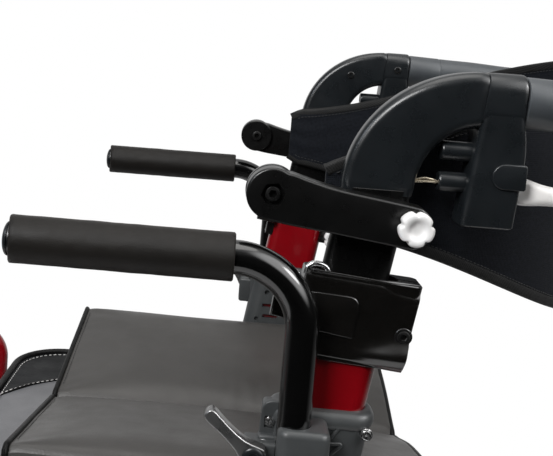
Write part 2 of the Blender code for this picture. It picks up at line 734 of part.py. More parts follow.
def make_lever():
    rows = ((-0.0085, 0.006, 1.0, 0.0), (-0.006, 0.013, 1.0, -0.0005), (0.0, 0.018, 1.0, -0.0015),
            (0.018, 0.0213, 1.0, -0.0056), (0.026, 0.0185, 1.6, -0.0066), (0.041, 0.0140, 1.8, -0.0079),
            (0.075, 0.0130, 1.8, -0.0095), (0.110, 0.0120, 1.8, -0.0115), (0.129, 0.0110, 1.7, -0.0125),
            (0.133, 0.0070, 1.1, -0.0125))
    secs = []
    for x, h, k, dz in rows:
        u = LEVER_X + (x if x < 0.03 else x * LEVER_L / 0.133)
        secs.append([Vector((u, POST_Y + b, LEVER_Z + dz + a)) for a, b in rounded(h, LEVER_T * k, 0.004, 2)])
    return loft(secs)


def cable_line():
    """From the front of the lower barrel to a blind hole in the back of the elbow."""
    z = barrel_heights()[1]
    x1 = HOUSING_REAR - HOUSING_W - BARREL_L - GAP
    x0 = post_x(ELBOW_Z) + INNER_W / 2 + ELBOW_LIP - CABLE_IN
    return Vector((x1, POST_Y, z)), Vector((x0, POST_Y, z - CABLE_DROP))


def make_cable():
    a, b = cable_line()
    return sweep([a, b], circle(CABLE_R, 10))


def make_bone():
    """The arm that carries the backrest, with a six-sided recess in its boss."""
    ux, uz = math.cos(BONE_TILT), -math.sin(BONE_TILT)
    vx, vz = -uz, ux
    pts = []
    for i in range(13):
        a = math.radians(60 + 215 * i / 12)
        pts.append((BOSS_R * math.cos(a), BOSS_R * math.sin(a)))
    pts += [(0.015, -0.0198), (0.046, -0.0187), (BONE_L, -0.0172)]
    for i in range(1, 6):
        a = math.radians(-90 + 180 * i / 6)
        pts.append((BONE_L + 0.0145 * math.cos(a), -0.0014 + 0.0156 * math.sin(a)))
    pts += [(BONE_L, 0.0144), (0.048, 0.0142), (0.031, 0.0154), (0.018, 0.0166)]
    outline = [(BOSS_X + a * ux + b * vx, BOSS_Z + a * uz + b * vz) for a, b in pts]
    y1 = BONE_IN + BONE_T
    body = plate(outline, BONE_IN, y1, 0.0028)
    hexagon = []
    for i in range(6):
        a = math.radians(60 * i + 8)
        hexagon.append((BOSS_X + 0.0095 * math.cos(a), BOSS_Z + 0.0095 * math.sin(a)))
    return combine(body, [("DIFFERENCE", plate(hexagon, y1 - 0.006, y1 + 0.01))])


def make_knob():
    y0 = BONE_IN + BONE_T + GAP
    n = 30
    secs = []
    for y, k in ((0.0, 0.70), (0.003, 0.96), (KNOB_T - 0.004, 1.0), (KNOB_T - 0.001, 0.93), (KNOB_T, 0.80)):
        loop = []
        for i in range(n):
            a = 2 * math.pi * i / n
            r = k * KNOB_R * (0.92 + 0.08 * math.cos(KNOB_LOBES * (a - KNOB_TURN)))
            loop.append(Vector((KNOB_X + r * math.cos(a), y0 + y, KNOB_Z + r * math.sin(a))))
        secs.append(loop)
    return loft(secs)


def make_band():
    """Half of the backrest band, flat along the tube and then round to the middle, where it is widest."""
    x0 = POST_X + BAND_X0
    n = 14
    a1 = math.acos(FOLD_GAP / BAND_Y)
    path = [Vector((x0 + BAND_FLAT * i / 3, BAND_Y, 0)) for i in range(3)]
    for i in range(n + 1):
        a = a1 * i / n
        x = x0 + BAND_FLAT + (BAND_BACK - BAND_FLAT) * math.sin(a) ** 1.6
        path.append(Vector((x, BAND_Y * math.cos(a), 0)))
    run = [0.0]
    for p, q in zip(path, path[1:]):
        run.append(run[-1] + (q - p).length)
    secs = []
    last = len(path) - 1
    for i, p in enumerate(path):
        t = (path[min(i + 1, last)] - path[max(i - 1, 0)]).normalized()
        nrm = Vector((1, 0, 0)) if i == last else Vector((-t.y, t.x, 0))
        f = run[i] / run[-1]
        h = BAND_H0 + (BAND_H1 - BAND_H0) * math.sin(f * math.pi / 2) ** 1.6
        z = ARM_Z + BAND_Z - BAND_DROP * f
        loop = []
        for c, b in ((-1, -0.30), (-0.985, -0.5), (-0.5, -0.62), (0, -0.66), (0.5, -0.62), (0.985, -0.5),
                     (1, -0.30), (1, 0.30), (0.985, 0.5), (0.5, 0.5), (0, 0.5), (-0.5, 0.5), (-0.985, 0.5),
                     (-1, 0.30)):
            loop.append(p + nrm * (b * BAND_T * 0.75) + Vector((0, 0, z + c * h)))
        secs.append(loop)
    return loft(secs)


def make_armrest():
    low = ARM_Z - SOCKET_DROP - SOCKET_DEPTH + GAP
    end = ARM_X - ARM_REACH + 0.006
    path = fillet_path([(ARM_X, ARM_Y, low), (ARM_X, ARM_Y, ARM_Z), (end, ARM_Y, ARM_Z)], ARM_BEND, 8)
    scale = [1.0] * len(path)
    tip = path[-1]
    for d, k in ((0.003, 0.90), (0.0052, 0.62), (0.006, 0.30)):
        path.append(tip + Vector((-d, 0, 0)))
        scale.append(k)
    return sweep(path, circle(ARM_R, 16), Vector((0, 1, 0)), scale)


def make_foam():
    x0, x1 = ARM_X - FOAM_FRONT, ARM_X - FOAM_REAR
    b = ARM_R + GAP
    secs = []
    for x, r in ((x0, b), (x0, FOAM_R - 0.002), (x0 + 0.002, FOAM_R),
                 (x1 - 0.002, FOAM_R), (x1, FOAM_R - 0.002), (x1, b)):
        secs.append([Vector((x, ARM_Y + p, ARM_Z + q)) for p, q in circle(r, 24)])
    return loft(secs, ring=True)


def make_release():
    """Paddle that frees the armrest, turning on the front of the hub."""
    y0 = ARM_Y - 0.004 + GAP
    ang = REL_ANGLE
    pts = []
    for i in range(9):
        a = ang + math.pi / 2 + math.pi * i / 8
        pts.append((REL_X + 0.0105 * math.cos(a), REL_Z + 0.0105 * math.sin(a)))
    for d, w in ((0.30, -0.0050), (0.6, -0.0044), (0.92, -0.0050), (1.0, -0.0030),
                 (1.0, 0.0030), (0.92, 0.0050), (0.6, 0.0044), (0.30, 0.0055)):
        pts.append((REL_X + d * REL_LEN * math.cos(ang) - w * math.sin(ang),
                    REL_Z + d * REL_LEN * math.sin(ang) + w * math.cos(ang)))
    return plate(pts, y0, y0 + REL_T, 0.0018)


def make_footrest():
    top = ARCH_FOOT + 0.138
    path = fillet_path([
        (PIVOT_X, POST_Y, top - 0.072), (PIVOT_X, POST_Y, top), (PIVOT_X - 0.066, POST_Y, top),
        (PIVOT_X - 0.138, POST_Y, PLATE_Z + PLATE_H / 2),
    ], 0.028, 5)
    tube = sweep(path, circle(HANGER_R, 14))
    collar = tube_z(PIVOT_X, POST_Y, PIVOT_R, top - 0.074, top - 0.034, 18)
    x0 = PIVOT_X - PLATE_FRONT
    foot = box(x0, x0 + PLATE_LEN, POST_Y - PLATE_IN, POST_Y + 0.012, PLATE_Z, PLATE_Z + PLATE_H, 0.014, 3)
    return combine(foot, [("UNION", tube), ("UNION", collar)])


def make_seat():
    """Half of the padded seat, crowned, with its sides drawn in between the corners."""
    nx, ny = 14, 9
    y_in, y_out = FOLD_GAP, SEAT_HALF
    x0, x1 = SEAT_FRONT, SEAT_FRONT + SEAT_DEPTH

    def at(u, v, level):
        pull = SEAT_PULL * 4 * v * (1 - v) * (1 if level else 0.6)
        sx = x0 + pull + (x1 - x0 - 2 * pull) * u
        sy = y_in + (y_out - SEAT_PULL * 2.4 * u * (1 - u) - y_in) * v
        base = SEAT_BASE_EDGE + (sy - SEAT_HALF) * math.tan(SEAT_TILT)
        edge = min(1.0, 9 * min(u, 1 - u, 0.62 * v, 0.62 * (1 - v)) + 0.0)
        soft = 0.0
        if 0 < u < 1 and 0 < v < 1:
            soft = math.sin(math.pi * u) ** 0.45 * math.sin(math.pi * v) ** 0.55
        if level:
            return Vector((sx, sy, base + SEAT_THICK - 0.004 * (1 - edge) + SEAT_CROWN * soft))
        return Vector((sx, sy, base))

    bm = bmesh.new()
    top = [[bm.verts.new(at(i / nx, j / ny, 1)) for j in range(ny + 1)] for i in range(nx + 1)]
    low = [[bm.verts.new(at(i / nx, j / ny, 0)) for j in range(ny + 1)] for i in range(nx + 1)]
    for i in range(nx):
        for j in range(ny):
            bm.faces.new((top[i][j], top[i + 1][j], top[i + 1][j + 1], top[i][j + 1]))
            bm.faces.new((low[i][j], low[i][j + 1], low[i + 1][j + 1], low[i + 1][j]))
    rim = [(i, 0) for i in range(nx)] + [(nx, j) for j in range(ny)]
    rim += [(i, ny) for i in range(nx, 0, -1)] + [(0, j) for j in range(ny, 0, -1)]
    for k, (i, j) in enumerate(rim):
        p, q = rim[(k + 1) % len(rim)]
        bm.faces.new((top[i][j], low[i][j], low[p][q], top[p][q]))
    bmesh.ops.recalc_face_normals(bm, faces=bm.faces)
    return bm


def make_brace(first):
    """One bar of the cross brace, from its seat rail down to the other side, in the plane of its own X."""
    s = -1 if first else 1
    x = BRACE_X + s * (BRACE_W + BRACE_SPACE) / 2
    top = Vector((x, s * SR_Y, SR_Z))
    d = Vector((0, -s * math.cos(BRACE_ANGLE), -math.sin(BRACE_ANGLE)))
    n = Vector((0, s * math.sin(BRACE_ANGLE), -math.cos(BRACE_ANGLE)))
    half = Vector((BRACE_W / 2, 0, 0))
    outline = []
    for i in range(9):
        a = math.pi / 2 + math.pi * i / 8
        outline.append((RING_R * math.cos(a), RING_R * math.sin(a)))
    outline += [(RING_R * 1.6, -BRACE_H / 2), (BRACE_LEN, -BRACE_H / 2)]
    for i in range(1, 6):
        a = -math.pi / 2 + math.pi * i / 6
        outline.append((BRACE_LEN + BRACE_H / 2 * math.cos(a), BRACE_H / 2 * math.sin(a)))
    outline += [(BRACE_LEN, BRACE_H / 2), (RING_R * 1.6, BRACE_H / 2)]
    bar = loft([[top + half * k + d * a + n * b for a, b in outline] for k in (-1, 1)])
    steps = [("DIFFERENCE", tube_x(top.y, SR_Z, SEAT_RAIL_R + SLIDE_GAP, x - BRACE_W, x + BRACE_W, 20))]
    mid_z = SR_Z - SR_Y * math.tan(BRACE_ANGLE)
    if first:
        end = BRACE_X + BRACE_W + BRACE_SPACE / 2 + 0.004
        steps.append(("UNION", tube_x(0.0, mid_z, BRACE_PIN_R, x, end, 20)))
    else:
        hole = tube_x(0.0, mid_z, BRACE_PIN_R + SLIDE_GAP, x - BRACE_W, x + BRACE_W, 20)
        steps.append(("DIFFERENCE", hole))
    return combine(bar, steps)


def make_pouch():
    """Pouch hung at the front of the seat, fuller below its flap."""
    top = SEAT_Z - POUCH_TOP
    x1 = SEAT_FRONT - GAP
    secs = []
    for f, deep, wide in ((0.0, 0.55, 0.90), (0.06, 0.80, 0.96), (0.25, 1.0, 1.0), (0.55, 0.98, 1.0),
                          (0.85, 0.86, 0.985), (0.97, 0.78, 0.97), (1.0, 0.68, 0.955)):
        z = top - POUCH_H * (1 - f)
        d = POUCH_DEEP * deep
        loop = []
        for a, b in rounded(2 * d, 2 * POUCH_HALF * wide, d * 0.78, 4):
            loop.append(Vector((min(x1, x1 + a), b, z)))
        secs.append(loop)
    return loft(secs)


chair = empty("chair", (0, 0, 0))
SIDES = (("left", -1), ("right", 1))
for tag, s in SIDES:
    frame = empty(tag + "_frame_axis", (BRACE_X, s * SR_Y, SR_Z), chair)
    handle = empty(tag + "_handle_axis", (post_x(POST_TOP), s * POST_Y, POST_TOP), frame)
    arm = empty(tag + "_armrest_axis", (ARM_X, s * ARM_Y, ARM_Z), frame)
    stem = empty(tag + "_caster_axis", (STEM_X, s * POST_Y, ARCH_FOOT), frame)
    roll = empty(tag + "_caster_axle", (CASTER_X, s * POST_Y, CASTER_R), stem)
    axle = empty(tag + "_rear_axle", (AXLE_X, s * WHEEL_Y, REAR_R), frame)
    foot = empty(tag + "_foot_axis", (PIVOT_X, s * POST_Y, ARCH_FOOT), frame)

    # the handle's upper pieces, drawn out along the post
    up = Vector((math.sin(POST_LEAN), 0, math.cos(POST_LEAN))) * HANDLE_LIFT[tag]

    def put(name, bm, key, at, parent):
        return piece(tag + "_" + name, bm, key, s, at, parent)

    def raised(name, bm, key, at, parent):
        bmesh.ops.translate(bm, vec=up, verts=bm.verts)
        return put(name, bm, key, Vector(at) + up, parent)

    here = (post_x(RAIL_TOP), s * POST_Y, RAIL_TOP)
    put("post", make_post(), "red", here, frame)
    put("rail", make_rail(), "red", (0, s * POST_Y, RAIL_Z), frame)
    put("arch", make_arch(), "red", (STEM_X, s * POST_Y, ARCH_FOOT), frame)
    put("hub", make_hub(), "grey_plastic", (ARM_X, s * ARM_Y, ARM_Z - SOCKET_DROP), frame)
    put("seat_rail", make_seat_rail(), "satin_black", (BRACE_X, s * SR_Y, SR_Z), frame)
    put("bracket", make_bracket(), "gloss_black", (POST_X, s * POST_Y, ARM_Z), frame)
    put("axle_plate", make_axle_plate(), "satin_black", (AXLE_X, s * POST_Y, REAR_R), frame)
    put("seat", make_seat(), "leatherette", (SEAT_FRONT, s * SEAT_HALF, SEAT_Z), frame)
    put("inner_tube", make_inner_tube(up), "satin_black", (POST_X, s * POST_Y, ARM_Z), handle)
    raised("elbow", make_elbow(), "satin_black", (SEAM_X, s * POST_Y, HANDLE_Z), handle)
    raised("grip", make_grip(), "rubber", (COLLAR_END, s * POST_Y, HANDLE_Z), handle)
    raised("brake_housing", make_housing(), "satin_black", (LEVER_X, s * POST_Y, LEVER_Z), handle)
    raised("cable", make_cable(), "cable", (SEAM_X, s * POST_Y, HANDLE_Z), handle)
    put("back_arm", make_bone(), "satin_black", (BOSS_X, s * POST_Y, BOSS_Z), handle)
    put("backrest", make_band(), "mesh_fabric", (POST_X, s * BAND_Y, ARM_Z), handle)
    put("knob", make_knob(), "white", (KNOB_X, s * POST_Y, KNOB_Z), handle)
    raised("brake_lever", make_lever(), "white", (LEVER_X, s * POST_Y, LEVER_Z), handle)
    px, pz = shoe_pivot()
    put("brake_shoe", make_shoe(), "rubber", (px, s * POST_Y, pz), frame)
    put("caster_fork", make_fork(), "satin_black", (STEM_X, s * POST_Y, ARCH_FOOT), stem)
    put("caster_rim", make_caster_rim(), "grey_plastic", (CASTER_X, s * POST_Y, CASTER_R), roll)
    put("caster_tyre", make_caster_tyre(), "rubber", (CASTER_X, s * POST_Y, CASTER_R), roll)
    put("rear_rim", make_rear_rim(), "grey_plastic", (AXLE_X, s * WHEEL_Y, REAR_R), axle)
    put("rear_tyre", make_rear_tyre(), "rubber", (AXLE_X, s * WHEEL_Y, REAR_R), axle)
    put("armrest_tube", make_armrest(), "gloss_black", (ARM_X, s * ARM_Y, ARM_Z), arm)
    put("armrest_foam", make_foam(), "foam", (ARM_X, s * ARM_Y, ARM_Z), arm)
    put("release_lever", make_release(), "grey_plastic", (REL_X, s * ARM_Y, REL_Z), frame)
    put("footrest", make_footrest(), "satin_black", (PIVOT_X, s * POST_Y, ARCH_FOOT), foot)

cross = empty("brace_axis", (BRACE_X, 0, SR_Z - SR_Y * math.tan(BRACE_ANGLE)), chair)
piece("brace_a", make_brace(True), "satin_black", 1, (BRACE_X, -SR_Y, SR_Z), cross)
piece("brace_b", make_brace(False), "satin_black", 1, (BRACE_X, SR_Y, SR_Z), cross)
piece("pouch", make_pouch(), "leatherette", 1, (SEAT_FRONT, 0, SEAT_Z - POUCH_TOP), chair)
bpy.context.view_layer.update()
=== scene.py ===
import bpy
import bmesh
from math import cos, exp, pi, radians, sin, sqrt, tan
from mathutils import Matrix, Vector, noise


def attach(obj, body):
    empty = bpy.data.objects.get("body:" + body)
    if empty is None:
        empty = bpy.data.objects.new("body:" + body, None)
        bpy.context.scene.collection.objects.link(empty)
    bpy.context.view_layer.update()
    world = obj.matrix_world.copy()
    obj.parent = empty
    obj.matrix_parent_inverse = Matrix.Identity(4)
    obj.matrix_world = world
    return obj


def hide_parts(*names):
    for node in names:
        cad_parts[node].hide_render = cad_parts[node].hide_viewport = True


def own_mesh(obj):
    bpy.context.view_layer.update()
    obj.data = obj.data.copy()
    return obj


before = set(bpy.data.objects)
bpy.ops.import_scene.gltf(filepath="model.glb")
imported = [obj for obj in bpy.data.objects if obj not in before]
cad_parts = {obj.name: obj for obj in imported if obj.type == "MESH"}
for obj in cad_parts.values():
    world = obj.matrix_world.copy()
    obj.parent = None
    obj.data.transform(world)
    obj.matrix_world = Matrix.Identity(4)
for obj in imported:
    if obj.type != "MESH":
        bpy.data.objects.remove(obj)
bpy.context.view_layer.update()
sides = ("left", "right")
mirror = {"left": -1, "right": 1, "": 1}  # meshes are drawn for the right side
alongX, alongY, alongZ = Vector((1, 0, 0)), Vector((0, 1, 0)), Vector((0, 0, 1))

# places that several pieces share, in metres; +Y is the chair's right and -X its front
chair = dict(postY=0.229, postX=0.261, postWidth=0.066, postThick=0.026, postGap=0.0006,
             lean=radians(8.57), armX=0.220, armY=0.262, armZ=0.729, elbowZ=0.783, handleZ=0.8548,
             seamX=0.34014, collarEnd=0.36774, railY=0.19, railZ=0.47402, lift=dict(left=0.0, right=0.018))
postY = chair["postY"]
postUp = Vector((sin(chair["lean"]), 0, cos(chair["lean"])))
postBack = Vector((cos(chair["lean"]), 0, -sin(chair["lean"])))


def postAt(z):
    return chair["postX"] + (z - chair["armZ"]) * tan(chair["lean"])


def smoothStep(a, b, x):
    t = min(1.0, max(0.0, (x - a) / (b - a)))
    return t * t * (3 - 2 * t)


def hump(a, b, c, d, x):
    return smoothStep(a, b, x) * (1 - smoothStep(c, d, x))


# outlines and paths
def arc(radius, turns, x=0.0, y=0.0, high=None):
    high = radius if high is None else high
    points = []
    for turn in turns:
        a = radians(turn)
        points.append((x + radius * cos(a), y + high * sin(a)))
    return points


def roundedLoop(width, height, radius, steps):
    radius = min(radius, width / 2 - 1e-6, height / 2 - 1e-6)
    points = []
    for cx, cy, start in ((1, 1, 0), (-1, 1, 90), (-1, -1, 180), (1, -1, 270)):
        turns = [start + 90 * i / steps for i in range(steps + 1)]
        points += arc(radius, turns, cx * (width / 2 - radius), cy * (height / 2 - radius))
    return points


def circleLoop(radius, steps):
    turns = [2 * pi * i / steps for i in range(steps)]
    return [(radius * cos(a), radius * sin(a)) for a in turns]


def smoothPath(points, steps, closed=False):
    pts = [Vector(p) for p in points]
    n = len(pts)
    out = []
    for i in range(n if closed else n - 1):
        pick = [(i + k) % n if closed else min(max(i + k, 0), n - 1) for k in (-1, 0, 1, 2)]
        a, b, c, d = (pts[k] for k in pick)
        for k in range(steps):
            t = k / steps
            out.append(0.5 * (2 * b + (c - a) * t + (2 * a - 5 * b + 4 * c - d) * t * t
                              + (3 * b - a - 3 * c + d) * t ** 3))
    return out if closed else out + [pts[-1]]


def filletPath(points, radius, steps):
    pts = [Vector(p) for p in points]
    out = [pts[0]]
    for a, b, c in zip(pts, pts[1:], pts[2:]):
        u, v = (a - b).normalized(), (c - b).normalized()
        half = u.angle(v) / 2
        middle = b + (u + v).normalized() * (radius / sin(half))
        p, q = (b + w * (radius / tan(half)) - middle for w in (u, v))
        out += [middle + p.slerp(q, i / steps).normalized() * radius for i in range(steps + 1)]
    return out + [pts[-1]]


# mesh makers, each gives a bmesh or adds to the one it is handed
def addInto(bm, other):
    if bm is None:
        return other
    spare = bpy.data.meshes.new("spare")
    other.to_mesh(spare)
    other.free()
    bm.from_mesh(spare)
    bpy.data.meshes.remove(spare)
    return bm


def bridge(bm, a, b):
    for i in range(len(a)):
        k = (i + 1) % len(a)
        bm.faces.new((a[i], a[k], b[k], b[i]))


def loft(rings, closed=False, into=None):
    bm = bmesh.new()
    loops = [[bm.verts.new(p) for p in ring] for ring in rings]
    for a, b in zip(loops, loops[1:] + ([loops[0]] if closed else [])):
        bridge(bm, a, b)
    if not closed:
        bm.faces.new(loops[0])
        bm.faces.new(list(reversed(loops[-1])))
    bmesh.ops.remove_doubles(bm, verts=bm.verts, dist=1e-7)
    bmesh.ops.delete(bm, geom=[e for e in bm.edges if not e.link_faces], context="EDGES")
    bmesh.ops.recalc_face_normals(bm, faces=bm.faces)
    return addInto(into, bm)


def sweep(path, loop, upright=alongY, into=None):
    rings = []
    last = len(path) - 1
    for i, p in enumerate(path):
        along = (path[min(i + 1, last)] - path[max(i - 1, 0)]).normalized()
        side = (upright - along * upright.dot(along)).normalized()
        out = side.cross(along).normalized()
        rings.append([p + out * a + side * b for a, b in loop])
    return loft(rings, into=into)


def lathe(profile, middle, axis, steps, into=None):
    w = Vector(axis).normalized()
    u = w.orthogonal().normalized()
    v = w.cross(u)
    rings = []
    for c, t in circleLoop(1.0, steps):
        rings.append([Vector(middle) + (u * c + v * t) * r + w * h for r, h in profile])
    return loft(rings, True, into)


def rod(radius, start, end, middle, axis, steps):
    return lathe([(0, start), (radius, start), (radius, end), (0, end)], middle, axis, steps)


def softEdges(bm, edges, bevel, steps):
    bmesh.ops.bevel(bm, geom=edges, offset=bevel, segments=steps, profile=0.5, affect="EDGES",
                    clamp_overlap=True)


def slab(outline, y0, y1, bevel=0.0, steps=3, into=None):
    bm = loft([[Vector((x, y, z)) for x, z in outline] for y in (y0, y1)])
    if bevel:
        rim = [e for e in bm.edges if abs(e.verts[0].co.y - e.verts[1].co.y) < 1e-7]
        softEdges(bm, rim, bevel, steps)
    return addInto(into, bm)


def block(low, high, bevel, steps=2, into=None):
    low, high = Vector(low), Vector(high)
    bm = bmesh.new()
    place = Matrix.Translation((low + high) / 2) @ Matrix.Diagonal((*(high - low), 1))
    bmesh.ops.create_cube(bm, size=1, matrix=place)
    softEdges(bm, bm.edges[:], bevel, steps)
    return addInto(into, bm)


def stack(rows, steps):
    # level rounded loops; a row is x, y, z, width, thickness, corner
    rings = []
    for x, y, z, wide, thick, corner in rows:
        rings.append([Vector((x + a, y + b, z)) for a, b in roundedLoop(wide, thick, corner, steps)])
    return loft(rings)


def leanPrism(width, thick, z0, z1, radius, ease=0.0):
    # upright that leans with the post, with eased ends
    rows = [(z0, 0.0), (z1, 0.0)]
    if ease:
        rows = [(z0, ease), (z0 + ease, 0.0), (z1 - ease, 0.0), (z1, ease)]
    return stack([(postAt(z), postY, z, width - 2 * cut, thick - 2 * cut, max(radius - cut, 0.0005))
                  for z, cut in rows], 8)


def postHole(z0, z1):
    gap = chair["postGap"]
    return leanPrism(chair["postWidth"] + gap, chair["postThick"] + gap, z0, z1, 0.0132)


def bakedMesh(obj):
    bpy.context.view_layer.update()
    shown = obj.evaluated_get(bpy.context.evaluated_depsgraph_get())
    return bpy.data.meshes.new_from_object(shown)


def spareObject(bm):
    data = bpy.data.meshes.new("spare")
    bm.to_mesh(data)
    bm.free()
    obj = bpy.data.objects.new("spare", data)
    bpy.context.scene.collection.objects.link(obj)
    return obj


def bakedShape(obj, *tools):
    out = bmesh.new()
    out.from_mesh(bakedMesh(obj))
    for item in (obj, *tools):
        bpy.data.objects.remove(item, do_unlink=True)
    return out


def carve(bm, cutters):
    base = spareObject(bm)
    tools = [spareObject(c) for c in cutters]
    for tool in tools:
        step = base.modifiers.new("cut", "BOOLEAN")
        step.operation, step.solver, step.object = "DIFFERENCE", "EXACT", tool
    return bakedShape(base, *tools)


def addPiece(side, name, bm, finish, body, node=None, slot=None, lift=0.0, sharp=40, level=0, asBuilt=False):
    stem = side + "_" if side else ""
    if lift:
        bmesh.ops.translate(bm, vec=postUp * lift, verts=bm.verts)
    if mirror[side] < 0 and not asBuilt:
        for v in bm.verts:
            v.co.y = -v.co.y
        bmesh.ops.reverse_faces(bm, faces=bm.faces)
    obj = spareObject(bm)
    obj.name = obj.data.name = side + name
    obj.data.materials.append(finishes[finish])
    for poly in obj.data.polygons:
        poly.use_smooth = True
    obj.data.set_sharp_from_angle(angle=radians(sharp))
    if level:
        rounder = obj.modifiers.new("round", "SUBSURF")
        rounder.levels = rounder.render_levels = level
    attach(obj, stem + body)
    if node:
        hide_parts(stem + node)
    return obj


def refine(side, name, node, finish, body, slot, bevel):
    # merged copy of a CAD node with its edges broken
    bm = bmesh.new()
    bm.from_mesh(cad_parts[side + "_" + node if side else node].data)
    bmesh.ops.remove_doubles(bm, verts=bm.verts, dist=2e-5)
    bmesh.ops.dissolve_limit(bm, angle_limit=radians(1), verts=bm.verts, edges=bm.edges)
    sharp = [e for e in bm.edges if len(e.link_faces) == 2 and e.calc_face_angle(0) > radians(28)]
    softEdges(bm, sharp, bevel, 3)
    addPiece(side, name, bm, finish, body, node, slot, sharp=36, asBuilt=True)


def foldFlat(pieces):
    for piece in pieces:
        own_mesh(piece)


# finishes
def treeNode(tree, kind, links=None, values=None, props=None):
    node = tree.nodes.new(kind)
    for key, value in (props or {}).items():
        setattr(node, key, value)
    for key, value in (values or {}).items():
        node.inputs[key].default_value = value
    for key, source in (links or {}).items():
        tree.links.new(source, node.inputs[key])
    return node


def shaderNode(tree, kind, values=None, links=None, props=None):
    return treeNode(tree, "ShaderNode" + kind, links, values, props)


def mathNode(tree, operation, *terms):
    node = shaderNode(tree, "Math", props={"operation": operation})
    for i, term in enumerate(terms):
        if isinstance(term, (int, float)):
            node.inputs[i].default_value = term
        else:
            tree.links.new(term, node.inputs[i])
    return node.outputs[0]


def rampNode(tree, value, low, high, toLow, toHigh, smooth=False):
    sizes = {"From Min": low, "From Max": high, "To Min": toLow, "To Max": toHigh}
    kind = "SMOOTHSTEP" if smooth else "LINEAR"
    node = shaderNode(tree, "MapRange", sizes, {"Value": value}, {"interpolation_type": kind})
    return node.outputs["Result"]


def noiseNode(tree, place, scale, detail=3.0, rough=0.55):
    return shaderNode(tree, "TexNoise", {"Scale": scale, "Detail": detail, "Roughness": rough},
                      {"Vector": place}).outputs["Fac"]


def pebbleGrain(tree, place, scale):
    cells = shaderNode(tree, "TexVoronoi", {"Scale": scale, "Smoothness": 0.5}, {"Vector": place},
                       {"feature": "SMOOTH_F1"}).outputs["Distance"]
    return mathNode(tree, "MULTIPLY_ADD", noiseNode(tree, place, scale * 0.07, 5.0, 0.65), 1.3, cells)


def waveNode(tree, place, way, **sizes):
    return shaderNode(tree, "TexWave", sizes, {"Vector": place}, {"bands_direction": way}).outputs["Fac"]


def wovenGrain(tree, place, scale):
    bands = [waveNode(tree, place, way, Scale=scale, Distortion=0.6, Detail=1.0) for way in ("X", "Y")]
    return mathNode(tree, "MAXIMUM", *bands)


def twistGrain(tree, place, scale):
    return waveNode(tree, place, "DIAGONAL", Scale=scale, Distortion=0.2)


grains = {"fine": noiseNode, "pebble": pebbleGrain, "woven": wovenGrain, "twist": twistGrain}
sockets = dict(metal="Metallic", spec="Specular IOR Level", coat="Coat Weight", coatRough="Coat Roughness",
               sheen="Sheen Weight", sheenRough="Sheen Roughness", sheenTint="Sheen Tint")
finishes = {}


def newFinish(name, dark, light, blotch, rough, grain, depth, bump=0.5, kind="fine", coords="Object",
              shade=0.0, **fixed):
    mat = finishes[name] = bpy.data.materials.new(name)
    mat.use_nodes = True
    tree = mat.node_tree
    skin = tree.nodes["Principled BSDF"]
    place = tree.nodes.new("ShaderNodeTexCoord").outputs[coords]
    for key, value in fixed.items():
        skin.inputs[sockets[key]].default_value = value
    relief = grains[kind](tree, place, grain)
    patch = noiseNode(tree, place, blotch, 4.0, 0.6)
    if shade:  # painted shade: the hollows of the grain darken the colour
        patch = mathNode(tree, "ADD", mathNode(tree, "MULTIPLY", patch, 1 - shade),
                         mathNode(tree, "MULTIPLY", relief, shade))
    ramp = shaderNode(tree, "ValToRGB", links={"Fac": patch})
    for stop, spot, color in zip(ramp.color_ramp.elements, (0.30, 0.70), (dark, light)):
        stop.position = spot
        stop.color = (*color, 1)
    tree.links.new(ramp.outputs["Color"], skin.inputs["Base Color"])
    gloss = rampNode(tree, noiseNode(tree, place, blotch * 3.1), 0.3, 0.7, *rough)
    tree.links.new(gloss, skin.inputs["Roughness"])
    lumps = shaderNode(tree, "Bump", {"Strength": bump, "Distance": depth}, {"Height": relief})
    tree.links.new(lumps.outputs["Normal"], skin.inputs["Normal"])


def grey(v, warm=0.0):
    return (v * (1 + warm), v, v * (1 - warm))


# name, darker and lighter colour, blotch scale, roughness span, grain scale, grain depth, bump
newFinish("redPaint", (0.200, 0.0010, 0.0040), (0.270, 0.0018, 0.0060), 9, (0.16, 0.26), 1500, 0.00003,
          metal=0.1, coat=0.7, coatRough=0.06)
newFinish("glossBlack", grey(0.0014), grey(0.0026), 14, (0.11, 0.16), 200, 0.00006, 0.2,
          coat=0.35, coatRough=0.11, spec=0.5)
newFinish("clampPaint", (0.0022, 0.0020, 0.0017), (0.0040, 0.0036, 0.0031), 14, (0.20, 0.28), 200, 0.00006,
          0.2, coat=0.5, coatRough=0.18, spec=0.6)
newFinish("powderBlack", grey(0.0014), grey(0.0026), 18, (0.24, 0.34), 1700, 0.00005, 0.4, spec=0.3)
newFinish("armPlastic", grey(0.0022), grey(0.0035), 22, (0.26, 0.34), 1300, 0.00007, 0.4, spec=0.4)
newFinish("satinPlastic", (0.0068, 0.0082, 0.0094), (0.0098, 0.0118, 0.0136), 22, (0.25, 0.34), 1300,
          0.00008, 0.4, spec=0.45)
newFinish("hubPlastic", (0.036, 0.0386, 0.0396), (0.053, 0.0566, 0.0580), 26, (0.36, 0.48), 1200, 0.0001,
          0.45, spec=0.45)
newFinish("foamSleeve", grey(0.0036, 0.14), grey(0.0062, 0.20), 34, (0.50, 0.60), 1000, 0.00025, 0.6,
          shade=0.45, spec=0.2, sheen=0.10, sheenTint=(1, 0.92, 0.84, 1), sheenRough=0.35)
newFinish("gripRubber", (0.040, 0.0450, 0.0494), (0.055, 0.0610, 0.0670), 30, (0.34, 0.46), 1100, 0.0001, 0.4)
newFinish("whitePlastic", grey(0.76, 0.01), grey(0.82, 0.01), 40, (0.40, 0.52), 700, 0.00008, 0.3, spec=0.3)
newFinish("creamPlastic", grey(0.82, 0.025), grey(0.88, 0.02), 30, (0.36, 0.50), 700, 0.00008, 0.3)
newFinish("leatherette", grey(0.041, 0.05), grey(0.052, 0.05), 11, (0.36, 0.48), 560, 0.00022, 0.45, "pebble",
          spec=0.32)
